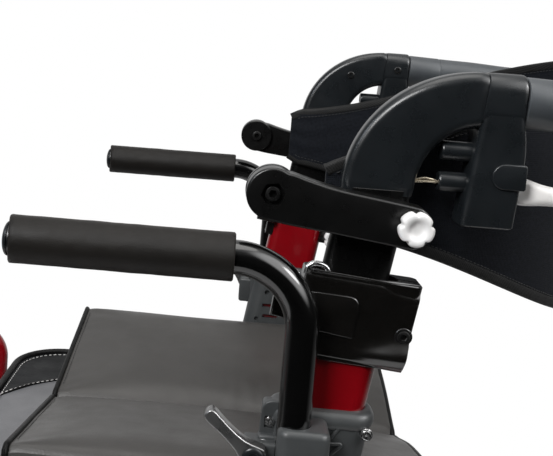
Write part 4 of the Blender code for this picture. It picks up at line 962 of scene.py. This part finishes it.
def makeHub(side):
    y, low, high = postY, hub["socketLow"], hub["socketTop"]
    cuts = [hubHole()]
    # windows and holes in the inner side
    for x0, x1, z in ((0.2144, 0.2334, 0.5610), (0.2155, 0.2345, 0.5470)):
        cuts.append(block((x0, y - 0.025, z - 0.0024), (x1, y - 0.010, z + 0.0024), 0.0008, 1))
    for x, z, r in ((0.2195, 0.5781, 0.0032), (0.2080, 0.5429, 0.0026)):
        cuts.append(rod(r, 0, 0.010, (x, y - 0.0145, z), -alongY, 20))
    bm = carve(leanPrism(hub["wide"], hub["thick"], hub["low"], 0.6040, 0.0155, 0.0016), cuts)
    rim = ((0.5985, 0.0030), (0.6000, 0.0010), (0.6025, 0.0), (0.6050, 0.0), (0.6085, 0.0009),
           (0.6108, 0.0026), (0.6120, 0.0046), (hub["top"], 0.0066))
    wide, thick = hub["rimWide"], hub["rimThick"]
    rim = stack([(postAt(z), y, z, wide - 2 * cut, thick - 2 * cut, 0.0175 - cut) for z, cut in rim], 10)
    addInto(bm, carve(rim, [hubHole()]))
    socket = ((low, 0.003), (low + 0.003, 0.0006), (low + 0.006, 0.0), (high - 0.0050, 0.0),
              (high - 0.0024, 0.0008), (high - 0.0007, 0.0023), (high, 0.0045))
    x, arm, wide, thick = (hub[k] for k in ("socketX", "socketY", "socketWide", "socketThick"))
    socket = stack([(x, arm, z, wide - 2 * cut, thick - 2 * cut, 0.0075 - cut * 0.8) for z, cut in socket], 8)
    bore = rod(armrest["radius"] + hub["socketGap"], 0.0, 0.06,
               (chair["armX"], chair["armY"], high - 0.039), alongZ, 44)
    addInto(bm, carve(socket, [bore]))
    saddle = [(0.2240, 0.5600), (0.2455, 0.5600), (0.2455, 0.6020), (0.2430, 0.6062), (0.2380, 0.6078),
              (0.2240, 0.6078)]
    slab(saddle, y + 0.010, 0.2490, 0.0024, 4, bm)
    plate = [(0.1945, 0.5560), (0.1965, 0.6070), (0.1972, 0.6105), (0.1988, 0.6132), (0.2012, 0.6149),
             (0.2045, 0.6156), (0.2260, 0.6160), (0.2260, 0.5560)]
    recess = block((0.1992, 0.2400, 0.5940), (0.2081, 0.2500, 0.6036), 0.0008, 1)
    addInto(bm, carve(slab(plate, y + 0.0095, 0.2445, 0.0011, 3), [recess]))
    block((0.1950, y + 0.0095, 0.5560), (0.2110, 0.2500, 0.5900), 0.0022, 3, bm)
    block((0.1840, y + 0.0085, 0.5560), (0.2170, 0.2577, 0.5870), 0.0030, 4, bm)
    block((0.1975, y - 0.0080, 0.5600), (0.2239, y + 0.0120, 0.6110), 0.0040, 4, bm)
    railY, railZ, edge = chair["railY"], chair["railZ"], y - 0.0135
    lugX = postAt(railZ)
    tunnel = rod(hub["tunnel"], -0.06, 0.06, (lugX, railY, railZ), alongX, 32)
    half = hub["lugHalf"]
    lug = block((lugX - half, railY - 0.017, hub["low"]), (lugX + half, edge, hub["lugTop"]), 0.0030, 3)
    for v in lug.verts:  # its top follows the seat's slope
        if v.co.z > 0.478:
            v.co.z += (v.co.y - edge) * 0.10
    addInto(bm, carve(lug, [tunnel]))
    for line in (((0.2440, 0.5998), (0.2560, 0.6012), (0.2500, 0.5925)),
                 ((0.2440, 0.5868), (0.2600, 0.5886), (0.2512, 0.5795))):
        path = filletPath([(x, y + 0.0193, z) for x, z in line], 0.0012, 6)
        sweep(path, circleLoop(hub["rod"], 12), into=bm)
    for i in range(hub["ribs"]):  # stiffening ribs down the outer face
        z = hub["ribTop"] - i * hub["ribStep"]
        x, half = postAt(z), hub["ribHalf"]
        block((x - half, y + 0.0180, z - 0.0016), (x + half, y + 0.0204, z + 0.0016), 0.0007, 2, bm)
    addPiece(side, "Hub", bm, "hubPlastic", "frame", "hub", "grey_plastic", sharp=34)
    spots = ((0.2765, y + 0.0186, 0.5971), (0.2036, 0.2424, 0.5988), (0.1990, 0.2500, 0.5826))
    bolts(side, "HubBolts", [(spot, alongY) for spot in spots], "boltSteel", "frame", "hub")


def makeRelease(side):
    x, z, long = release["x"], release["z"], release["length"]
    c, t = cos(release["angle"]), sin(release["angle"])
    flat = arc(release["boss"], range(90, 271, 15))
    flat += [(k * long, up) for k, up in (
        (0.28, -0.0052), (0.6, -0.0043), (0.84, -0.0049), (0.94, -0.0046), (0.99, -0.0024),
        (0.992, 0.0024), (0.94, 0.0046), (0.84, 0.0050), (0.6, 0.0045), (0.28, 0.0056))]
    turned = smoothPath([(x + a * c - b * t, 0, z + a * t + b * c) for a, b in flat], 3, True)
    y0, y1 = release["inner"], release["inner"] + release["thick"]
    bm = slab([(p.x, p.z) for p in turned], y0, y1, 0.0020, 4)
    addPiece(side, "ReleaseLever", bm, "leverGrey", "release_lever", "release_lever", "black_plastic",
             sharp=36)
    cap = lathe([(0, -0.002), (0.0086, -0.002), (0.0086, 0.0012), (0.0078, 0.0020), (0.0052, 0.0023),
                 (0.0046, 0.0014), (0, 0.0012)], (x, y1, z), alongY, 40)
    addPiece(side, "ReleaseCap", cap, "satinPlastic", "release_lever", None, "black_plastic")


# seat halves: padded leatherette swollen by cloth pressure, in a shallow V
seat = dict(front=-0.0105, rear=0.3515, inner=0.0010, outer=0.2066, base=0.4948, tilt=radians(10.5),
            wall=0.0482, crown=0.0030, roll=0.008, nose=0.012, sag=0.010, pressure=4.0, cap=0.005,
            frames=20, pleat=0.0011, piping=0.0028, notch=0.0068, keep=0.452, anchor=0.2072,
            stitch=(0.0048, 0.0034, 0.0009), quality=5, mass=0.3)


def seatBase(y):
    return seat["base"] - (seat["anchor"] - y) * tan(seat["tilt"])


def seatDrop(y):
    # fall of the rolled long edges
    roll, near = seat["roll"], min(y - seat["inner"], seat["outer"] - y)
    return roll - sqrt(max(0.0, roll * roll - max(0.0, roll - near) ** 2))


def seatSag(y):
    return seat["sag"] * exp(-(y / 0.055) ** 2)


def seatGrid():
    # box of quads about 6 mm wide, with rolled long edges; pins are its bottom rim and end seams
    nx, ny, nz = 60, 34, 6
    long, wide = seat["rear"] - seat["front"], seat["outer"] - seat["inner"]
    bm, places = bmesh.new(), {}

    def vert(i, j, k):
        if (i, j, k) not in places:
            u, v, w = i / nx, j / ny, k / nz
            y = seat["inner"] + wide * v
            nose = max(0.0, 1 - long * u / seat["nose"])
            high = seat["wall"] - seatDrop(y) * 0.9 - 0.0030 * nose * nose
            high += seat["crown"] * (1 - (2 * u - 1) ** 4) * (1 - (2 * v - 1) ** 2)
            high -= smoothStep(0.55, 1.0, u) * seatSag(y)
            places[i, j, k] = bm.verts.new((seat["front"] + long * u, y, seatBase(y) + 0.0006 + w * high))
        return places[i, j, k]

    for a, b, far, pick in ((nx, ny, nz, lambda i, j, k: (i, j, k)), (ny, nz, nx, lambda i, j, k: (k, i, j)),
                            (nz, nx, ny, lambda i, j, k: (j, k, i))):
        for k in (0, far):
            for i in range(a):
                for j in range(b):
                    quad = [vert(*pick(p, q, k)) for p, q in ((i, j), (i + 1, j), (i + 1, j + 1), (i, j + 1))]
                    bm.faces.new(quad if k else quad[::-1])
    bm.verts.index_update()
    pins = [v.index for (i, j, k), v in places.items()
            if (k == 0 and (i in (0, nx) or j in (0, ny))) or (k == nz and i in (0, nx))]
    return bm, pins


def inflate(bm, pins):
    obj = spareObject(bm)
    group = obj.vertex_groups.new(name="seam")
    group.add(pins, 1.0, "REPLACE")
    start = [v.co.copy() for v in obj.data.vertices]
    step = obj.modifiers.new("swell", "CLOTH")
    step.settings.quality = seat["quality"]
    step.settings.mass = seat["mass"]
    step.settings.use_pressure = True
    step.settings.uniform_pressure_force = seat["pressure"]
    step.settings.effector_weights.gravity = 0
    step.settings.vertex_group_mass = "seam"
    step.point_cache.frame_start, step.point_cache.frame_end = 1, seat["frames"]
    scene = bpy.context.scene
    for f in range(1, seat["frames"] + 1):
        scene.frame_set(f)
    out = bakedShape(obj)
    for v, was in zip(out.verts, start):
        move = v.co - was
        if move.length > seat["cap"]:
            v.co = was + move * (seat["cap"] / move.length)
    scene.frame_set(1)
    return out


def seatForm():
    bm, pins = seatGrid()
    bm = inflate(bm, pins)
    front, rear = seat["front"], seat["rear"]
    for v in bm.verts:
        x, y, z = v.co
        v.co.y = min(max(y, 0.0004), seat["outer"] + 0.0004)
        # the notch leaves room for the brace when folded
        notch = seat["notch"] * hump(0.118, 0.140, 0.168, 0.190, y) * hump(0.104, 0.114, 0.166, 0.176, x)
        v.co.z = max(z, seatBase(v.co.y) + 0.0004 + notch)
        if z - seatBase(y) > 0.015:  # gathers running out of the fold and along the end seams
            fold = exp(-((y - 0.010) / 0.030) ** 2) * hump(0.10, 0.22, 0.29, 0.345, x)
            wave = sin(x * 420 + 6 * noise.noise(Vector((x * 25, y * 25, 1))))
            ends = exp(-((x - front) / 0.020) ** 2) + exp(-((rear - x) / 0.020) ** 2)
            puck = sin(y * 300 + 5 * noise.noise(Vector((x * 20, y * 20, 7))))
            soft = noise.noise(Vector((x * 14, y * 14, 2)))
            gather = fold * wave + 0.15 * ends * puck * smoothStep(0.0, 0.004, x - front)
            v.co.z += seat["pleat"] * gather + 0.0008 * soft
    return bm


def makeSeats():
    form = seatForm()
    for side in sides:
        cushion = addPiece(side, "SeatCushion", form.copy(), "leatherette", "frame", "seat", "leatherette",
                           level=1)
        cords = bmesh.new()
        lines = []
        for x, inward in ((seat["front"] + 0.0005, 0.006), (seat["rear"] - 0.0005, -0.006)):
            line = []
            for i in range(41):
                y = seat["inner"] + 0.0020 + (seat["outer"] - seat["inner"] - 0.0030) * i / 40
                sag = 0.0 if inward > 0 else seatSag(y)
                line.append(Vector((x, y, seatBase(y) + seat["wall"] - 0.0022 - 0.9 * seatDrop(y) - sag)))
            lines.append([p + Vector((inward, 0, 0.0016)) for p in line[4:-4]])
            # the piping goes on down the side seam
            line += [line[-1] + Vector((0, 0.0008, -down)) for down in (0.003, 0.008, 0.018, 0.034)]
            sweep(line, circleLoop(seat["piping"], 12), alongX, cords)
        piping = addPiece(side, "SeatPiping", cords, "pipingVinyl", "frame", None, "leatherette")
        sewn = stitches(side, "SeatStitches", lines, "blackThread", "frame", "leatherette", *seat["stitch"])
        foldFlat((cushion, piping, sewn))
    form.free()


# calf pouch under the seat's front edge
pouch = dict(back=-0.0113, deep=0.0735, half=0.184, low=0.2985, top=0.4805, rim=(0.0076, 0.0130),
             rimUp=0.0018, sag=0.006, crease=0.0016, keep=0.386, stitch=(0.0060, 0.0043, 0.0012))


def pouchRing(f, more=0.0):
    # D-shaped slice, f from the bottom to the top
    belly = sin(pi * min(1.0, 0.16 + 0.66 * f)) ** 0.5
    deep = pouch["deep"] * (0.62 + 0.38 * f) * (0.90 + 0.10 * belly) + more
    half = pouch["half"] * (0.90 + 0.10 * smoothStep(0, 0.5, f)) + more
    return [(min(pouch["back"], pouch["back"] + a), b)
            for a, b in roundedLoop(2 * deep, 2 * half, deep * 0.78, 14)]


def pouchSpot(x, y, k, across, z):
    # shrunk towards the back and the middle
    return Vector((pouch["back"] + (x - pouch["back"]) * k, y * across, z))


def makePouch():
    back, low, top, rows = pouch["back"], pouch["low"], pouch["top"], 26
    rings = [[pouchSpot(x, y, k, k, low + 0.0005) for x, y in pouchRing(0)] for k in (0.45, 0.75, 0.92)]
    for i in range(rows + 1):
        f = i / rows
        z = low + (top - low) * f
        ring = []
        for x, y in pouchRing(f, -0.010 * (1 - smoothStep(0, 0.07, f))):
            hang = pouch["sag"] * (1 - f) ** 2 * (1 - (y / pouch["half"]) ** 2)
            crease = pouch["crease"] * noise.noise(Vector((x * 9, y * 9, z * 26))) * (1 - f ** 6)
            x -= crease if x < back - 0.004 else 0.0
            ring.append(Vector((x, y, z + (pouch["sag"] - hang) * (1 - f) * 0.6)))
        rings.append(ring)
    lid = pouchRing(1.0)
    for k, up in ((0.96, 0.0008), (0.86, 0.0018), (0.68, 0.0026), (0.45, 0.0030), (0.2, 0.0032)):
        rings.append([pouchSpot(x, y, 1 - (1 - k) * 0.98, k, top + up) for x, y in lid])
    skin = addPiece("", "pouchSkin", loft(rings), "pouchSkin", "left_frame", "pouch", "leatherette", sharp=60)
    rim = [Vector((x, y, top + pouch["rimUp"])) for x, y in lid if x < back - 1e-5]
    trim = sweep(rim, roundedLoop(*pouch["rim"], 0.0034, 5), alongZ)
    flap = smoothPath([(-0.0120, 0.100, top + 0.0036), (-0.0440, 0.075, top + 0.0040),
                       (-0.0640, 0.052, top + 0.0038), (-0.0770, 0.036, top + 0.0016)], 8)
    sweep(flap, roundedLoop(0.0040, 0.0030, 0.0012, 4), alongZ, trim)
    trim = addPiece("", "pouchBinding", trim, "pipingVinyl", "left_frame", None, "leatherette", sharp=60)
    inset = [pouchSpot(x, y, 0.90, 0.950, top + 0.0040) for x, y in lid if x < back - 0.006]
    beside = [p + Vector((-0.0020, -0.0038, 0.0010)) for p in flap]
    edge = [pouchSpot(p.x, p.y, 1.07, 1.026, 0) for p in inset if p.y > flap[-1].y]
    if edge[0].y < edge[-1].y:
        edge.reverse()
    # dark lining panel past the pocket's edge
    cover = loft([[Vector((p.x, p.y, top + up)) for p in edge + flap[::-1]] for up in (0.0030, 0.0038)])
    lining = addPiece("", "pouchLining", cover, "flapVinyl", "left_frame", None, "leatherette", sharp=60)
    sewn = stitches("", "pouchStitches", [inset, beside], "whiteThread", "left_frame", "leatherette",
                    *pouch["stitch"])
    foldFlat((skin, lining, trim, sewn))


# side frames: rail, arch, seat rail, axle plate
lower = dict(railZ=0.310, railHigh=0.036, railThick=0.024, railFront=-0.154, railRear=0.370, railTop=0.3283,
             archRear=-0.136, archFront=-0.246, archTop=0.4985, archFoot=0.262, archWide=0.036,
             archThick=0.024, archBend=0.027, seatRail=0.011, seatRailRear=0.344, seatRailFront=0.023,
             legX=0.011, legTop=0.388, legBend=0.024)


def makeSideFrame(side):
    y, front, rear, foot = postY, lower["railFront"], lower["railRear"], lower["railTop"]
    rows = ((front, 0.0008), (front + 0.0008, 0.0), (rear - 0.003, 0.0), (rear - 0.0008, 0.0006),
            (rear, 0.002))
    rings = []
    for x, cut in rows:
        loop = roundedLoop(lower["railThick"] - 2 * cut, lower["railHigh"] - 2 * cut, 0.009 - cut, 8)
        rings.append([Vector((x, y + a, lower["railZ"] + b)) for a, b in loop])
    addPiece(side, "Rail", loft(rings), "redPaint", "frame", "rail", "red_paint")
    mid, thick = lower["archTop"] - lower["archWide"] / 2, lower["archThick"]
    path = filletPath([(lower["archRear"], y, foot), (lower["archRear"], y, mid),
                       (lower["archFront"], y, mid), (lower["archFront"], y, lower["archFoot"])],
                      lower["archBend"], 20)
    arch = sweep(path, roundedLoop(lower["archWide"], thick, thick / 2, 10))
    addPiece(side, "Arch", arch, "redPaint", "frame", "arch", "red_paint")
    rail, leg = (chair["railY"], chair["railZ"]), (lower["legX"], y)
    path = filletPath([(lower["seatRailRear"], *rail), (lower["seatRailFront"], *rail),
                       (*leg, lower["legTop"]), (*leg, foot)], lower["legBend"], 12)
    bar = sweep(path, circleLoop(lower["seatRail"], 28), Vector((0.3, 0.9, 0.3)))
    addPiece(side, "SeatRail", bar, "powderBlack", "frame", "seat_rail", "black_tube")
    refine(side, "AxlePlate", "axle_plate", "powderBlack", "frame", "black_tube", 0.0016)
    spots = ((0.390, 0.2995, 0.150), (0.362, y + 0.0070, 0.274), (0.310, y + 0.0070, 0.274),
             (0.180, y + 0.0120, 0.310), (-0.145, y + 0.0120, 0.310), (-0.136, y + 0.0120, 0.345))
    bolts(side, "FrameBolts", [(spot, alongY) for spot in spots], "boltSteel", "frame", "frame")


# wheels, casters and brake shoes
rearWheel = dict(x=0.390, y=0.290, radius=0.150, rim=0.122, half=0.015, spokes=9, treads=66, hub=0.0215,
                 hubIn=-0.0535, hubOut=0.013, bore=0.0083, spokeWide=0.020, spokeThick=0.0090)
caster = dict(x=-0.206, y=0.229, radius=0.095, rim=0.0697, half=0.014, spokes=5, treads=0, hub=0.0165,
              hubIn=-0.0165, hubOut=0.0165, bore=0.0053, spokeWide=0.017, spokeThick=0.0080, axleOut=0.0233)


def tyreMesh(w, axle):
    r0, r1, h = w["rim"] + 0.0003, w["radius"], w["half"]
    shape = [(r0 + (r1 - r0) * k, -h * side) for k, side in (
        (0.0, 0.84), (0.12, 0.95), (0.30, 1.0), (0.60, 1.0), (0.76, 0.86), (0.90, 0.62), (0.975, 0.36))]
    # the caster has a groove where the rear wheel has its treads
    crown = [(r1 - 0.0006, -h * 0.12)] if w["treads"] else [(r1 - 0.0006, -0.0030), (r1 - 0.0020, -0.0022)]
    shape += crown
    return lathe(shape + [(r, -o) for r, o in reversed(shape)], axle, alongY, 112)


def ringMesh(w, axle):
    r, h, hubR, hubIn, hubOut, bore = (w[k] for k in ("rim", "half", "hub", "hubIn", "hubOut", "bore"))
    shape = [(r - 0.016, -0.0062), (r - 0.013, -h + 0.0035), (r - 0.010, -h + 0.003), (r - 0.001, -h + 0.003),
             (r, -h + 0.004)]
    bm = lathe(shape + [(a, -b) for a, b in reversed(shape)], axle, alongY, 96)
    lathe([(bore, hubIn), (hubR - 0.001, hubIn), (hubR, hubIn + 0.001), (hubR, hubOut - 0.0015),
           (hubR - 0.0015, hubOut), (hubR * 0.62, hubOut), (hubR * 0.56, hubOut - 0.002),
           (bore, hubOut - 0.002)], axle, alongY, 56, bm)
    return bm


def spokeMesh(w):
    inner, outer, thick = w["hub"] - 0.003, w["rim"] - 0.0125, w["spokeThick"]
    rows = []
    for i in range(9):
        f = i / 8
        wide = w["spokeWide"] * (1.25 - 0.6 * sin(pi * f) ** 0.7)
        z = w["radius"] + inner + (outer - inner) * f
        rows.append((w["x"], w["y"], z, wide, thick * (1.1 - 0.25 * f), thick * 0.36))
    return stack(rows, 4)


def treadMesh(w):
    # pair of slanted blocks standing just proud of the crown
    bm = bmesh.new()
    top = w["radius"] * 2
    for way in (-1, 1):
        off = way * 0.0050
        corners = ((-0.0046, -0.0036 * way), (0.0028, -0.0036 * way), (0.0046, 0.0040 * way),
                   (-0.0028, 0.0040 * way))
        rows = []
        for z, k in ((top - 0.0042, 1.0), (top - 0.0008, 0.94), (top - 0.0001, 0.82)):
            rows.append([Vector((w["x"] + a * k + way * 0.0012, w["y"] + off + b * k,
                                 z - abs(off + b) * 0.11)) for a, b in corners])
        loft(rows, into=bm)
    return bm


def makeWheels(side):
    for w, stem in ((rearWheel, "rear"), (caster, "caster")):
        name, body = stem.capitalize(), "rear_wheel" if stem == "rear" else "caster_wheel"
        axle = (w["x"], w["y"], w["radius"])
        addPiece(side, name + "Tyre", tyreMesh(w, axle), "tyreRubber", body, stem + "_tyre", "tyre")
        addPiece(side, name + "Rim", ringMesh(w, axle), "wheelGrey", body, stem + "_rim", "grey_plastic")
        grow(side, name + "Spokes", spokeMesh(w), "wheel", "wheelGrey", body, "grey_plastic",
             Count=w["spokes"], Axle=axle)
        if w["treads"]:
            grow(side, name + "Tread", treadMesh(w), "wheel", "tyreRubber", body, "tyre", Count=w["treads"],
                 Axle=axle)
    refine(side, "CasterFork", "caster_fork", "powderBlack", "caster_fork", "black_tube", 0.0012)
    spots = [((caster["x"], caster["y"] + way * caster["axleOut"], caster["radius"]), alongY * way)
             for way in (-1, 1)]
    bolts(side, "CasterAxle", spots, "boltSteel", "caster_fork", "caster")
    refine(side, "BrakeShoe", "brake_shoe", "treadPlastic", "brake_shoe", "brake_rubber", 0.0012)


# footrests
foot = dict(pivotX=-0.2753, top=0.400, tube=0.010, collar=0.011, plateLow=0.105, plateHigh=0.0090,
            rear=-0.400, front=-0.540, inner=0.125, outer=0.241, ribs=15)


def makeFootrest(side):
    x, y, up, r = foot["pivotX"], postY, foot["top"], foot["collar"]
    low, high, front, inner, outer = (foot[k] for k in ("plateLow", "plateHigh", "front", "inner", "outer"))
    path = filletPath([(x, y, up - 0.072), (x, y, up), (x - 0.066, y, up), (x - 0.138, y, low + 0.005)],
                      0.028, 14)
    bm = sweep(path, circleLoop(foot["tube"], 28))
    lathe([(0.005, 0.0), (r - 0.0008, 0.0), (r, 0.0008), (r, 0.0392), (r - 0.0008, 0.040), (0.005, 0.040)],
          (x, y, up - 0.074), alongZ, 36, bm)
    addPiece(side, "FootrestTube", bm, "powderBlack", "footrest", "footrest", "black_tube")
    wide, long = foot["rear"] - front, outer - inner
    rows = ((0.0, 0.0020), (0.0012, 0.0004), (0.0025, 0.0), (high - 0.0025, 0.0), (high - 0.0008, 0.0006),
            (high, 0.0024), (high - 0.0014, 0.0060), (high - 0.0014, 0.0090))
    plate = stack([((foot["rear"] + front) / 2, (inner + outer) / 2, low + z, wide - 2 * cut,
                    long - 2 * cut, 0.014) for z, cut in rows], 8)
    addPiece(side, "Footplate", plate, "treadPlastic", "footrest", None, "black_plastic")
    step = (wide - 0.030) / (foot["ribs"] - 1)
    rib = block((front + 0.013, inner + 0.012, low + 0.006),
                (front + 0.017, outer - 0.012, low + high + 0.0008), 0.0008)
    grow(side, "FootplateRibs", rib, "row", "treadPlastic", "footrest", "black_plastic", Count=foot["ribs"],
         Step=(step, 0, 0))


# cross brace
brace = dict(edge=0.0016, pin=(0.164, 0.0, 0.3733))


def makeBraces():
    for name, node in (("braceA", "brace_a"), ("braceB", "brace_b")):
        refine("", name, node, "powderBlack", node, "black_tube", brace["edge"])
    bolts("", "bracePin", [(brace["pin"], alongX)], "boltSteel", "brace_a", "brace")


for side in sides:
    makeArmrest(side)
    makeBackArm(side)
    makeHandle(side)
print("armrests and handles done")
for side in sides:
    makeBand(side)
    makePost(side)
    makeClamp(side)
    makeHub(side)
    makeRelease(side)
print("posts, clamps, hubs and band done")
makeSeats()
makePouch()
print("seat and pouch done")
for side in sides:
    makeSideFrame(side)
    makeWheels(side)
    makeFootrest(side)
makeBraces()
print("lower frame done")

# camera, fitted to the photograph; focal, across and down are in its pixels
view = dict(place=(0.156, -0.8881, 0.872), yaw=-0.0536, pitch=0.1167, roll=0.0711, focal=872.1, across=181.4,
            down=157.99, width=553, height=456, sensor=36)


def makeCamera():
    wide = view["width"]
    c, t = cos(view["yaw"]), sin(view["yaw"])
    ahead, right = Vector((t, c, 0)), Vector((c, -t, 0))
    c, t = cos(view["pitch"]), sin(view["pitch"])
    look, rise = ahead * c - alongZ * t, alongZ * c + ahead * t
    c, t = cos(view["roll"]), sin(view["roll"])
    right, rise = right * c + rise * t, rise * c - right * t
    data = bpy.data.cameras.new("photoCamera")
    data.sensor_width = view["sensor"]
    data.lens = view["focal"] * view["sensor"] / wide
    data.shift_x = (wide / 2 - view["across"]) / wide
    data.shift_y = (view["down"] - view["height"] / 2) / wide
    data.clip_start = 0.01
    obj = bpy.data.objects.new("photoCamera", data)
    obj.matrix_world = Matrix.Translation(view["place"]) @ Matrix((right, rise, -look)).transposed().to_4x4()
    bpy.context.scene.collection.objects.link(obj)
    bpy.context.scene.camera = obj


# studio: white to the camera, soft walls for the light; ceiling, card and behind only for glossy rays
# a span is where the way starts and ends, then the brightness there
studio = dict(wall=(0.1, 0.85, 0.02, 0.6), sill=(-0.30, -0.02, 0.3, 1.0), roof=(0.25, 0.85, 0.0, 0.25),
              under=(-0.05, -0.45, 0.0, 0.3), far=(-0.3, 0.2, 0.0, 1.0), behind=(0.35, 0.9, 0.0, 0.14),
              ceiling=(0.70, 0.95, 0.0, 0.8), card=(0.82, 0.95, 0.0, 4.0), cardWay=(0.68, -0.42, 0.60),
              aim=(0.15, 0, 0.55), lamps=(
                  ("frontLamp", (-0.7, -1.5, 1.9), 0.8, 38, (1, 1, 1)),
                  ("topLamp", (0.1, -0.3, 2.6), 1.5, 15, (1, 0.98, 0.95)),
                  ("stripLamp", (1.9, -0.8, 1.9), 0.7, 17, (1, 1, 1)),
                  ("leftLamp", (-1.6, -0.9, 1.9), 0.6, 9, (0.86, 0.92, 1))))


def makeStudio():
    scene = bpy.context.scene
    scene.view_settings.view_transform = "Standard"
    world = scene.world = bpy.data.worlds.new("studio")
    world.use_nodes = True
    tree = world.node_tree
    tree.nodes.clear()
    sight = shaderNode(tree, "TexCoord").outputs["Generated"]
    way = shaderNode(tree, "SeparateXYZ", links={"Vector": sight}).outputs
    rays = shaderNode(tree, "LightPath").outputs
    sill = rampNode(tree, way["Z"], *studio["sill"])
    wall = rampNode(tree, way["Y"], *studio["wall"], True)
    wall = mathNode(tree, "MULTIPLY", wall, sill)
    roof = rampNode(tree, way["Z"], *studio["roof"], True)
    low = rampNode(tree, way["Z"], *studio["under"])
    far = rampNode(tree, way["Y"], *studio["far"])
    low = mathNode(tree, "MULTIPLY", low, far)
    glow = mathNode(tree, "MAXIMUM", mathNode(tree, "MAXIMUM", wall, roof), low)
    behind = rampNode(tree, way["Y"], *studio["behind"])
    ceiling = rampNode(tree, way["Z"], *studio["ceiling"], True)
    facing = shaderNode(tree, "VectorMath", {1: Vector(studio["cardWay"]).normalized()}, {0: sight},
                        {"operation": "DOT_PRODUCT"}).outputs["Value"]
    card = rampNode(tree, facing, *studio["card"], True)
    shine = mathNode(tree, "ADD", mathNode(tree, "MULTIPLY_ADD", behind, sill, ceiling), card)
    glossy = mathNode(tree, "ADD", rays["Is Glossy Ray"], rays["Is Transmission Ray"])
    light = mathNode(tree, "ADD", glow, mathNode(tree, "MULTIPLY", glossy, shine))
    unseen = mathNode(tree, "SUBTRACT", 1.0, rays["Is Camera Ray"])
    light = mathNode(tree, "MULTIPLY_ADD", light, unseen, rays["Is Camera Ray"])
    sky = shaderNode(tree, "Background", {"Color": (1, 1, 1, 1)}, {"Strength": light})
    shaderNode(tree, "OutputWorld", links={"Surface": sky.outputs[0]})
    for name, place, size, power, tint in studio["lamps"]:
        data = bpy.data.lights.new(name, "AREA")
        data.shape, data.size, data.energy, data.color = "DISK", size, power, tint
        obj = bpy.data.objects.new(name, data)
        turn = (Vector(place) - Vector(studio["aim"])).to_track_quat("Z", "Y")
        obj.matrix_world = Matrix.Translation(place) @ turn.to_matrix().to_4x4()
        scene.collection.objects.link(obj)


# round floor, nearly white to the camera
floorDisc = dict(radius=0.88, color=(0.86, 0.86, 0.86, 1), rough=0.85, fade=(0.5, 0.87, 0.86, 1.0))


def makeFloor():
    mat = bpy.data.materials.new("floorPale")
    mat.use_nodes = True
    tree = mat.node_tree
    skin = tree.nodes["Principled BSDF"]
    skin.inputs["Base Color"].default_value = floorDisc["color"]
    skin.inputs["Roughness"].default_value = floorDisc["rough"]
    seen = shaderNode(tree, "LightPath").outputs["Is Camera Ray"]
    glow = shaderNode(tree, "Emission", {"Strength": 1.0})
    away = shaderNode(tree, "VectorMath", links={0: shaderNode(tree, "TexCoord").outputs["Object"]},
                      props={"operation": "LENGTH"}).outputs["Value"]
    fade = rampNode(tree, away, *floorDisc["fade"])
    part = mathNode(tree, "MULTIPLY", seen, fade)
    mix = shaderNode(tree, "MixShader", links={"Fac": part, 1: skin.outputs[0], 2: glow.outputs[0]})
    tree.links.new(mix.outputs[0], tree.nodes["Material Output"].inputs["Surface"])
    bm = bmesh.new()
    bmesh.ops.create_circle(bm, cap_ends=True, radius=floorDisc["radius"], segments=96)
    floor = spareObject(bm)
    floor.name = "floor"
    floor.data.materials.append(mat)


makeCamera()
makeStudio()
makeFloor()
print("camera and studio done")
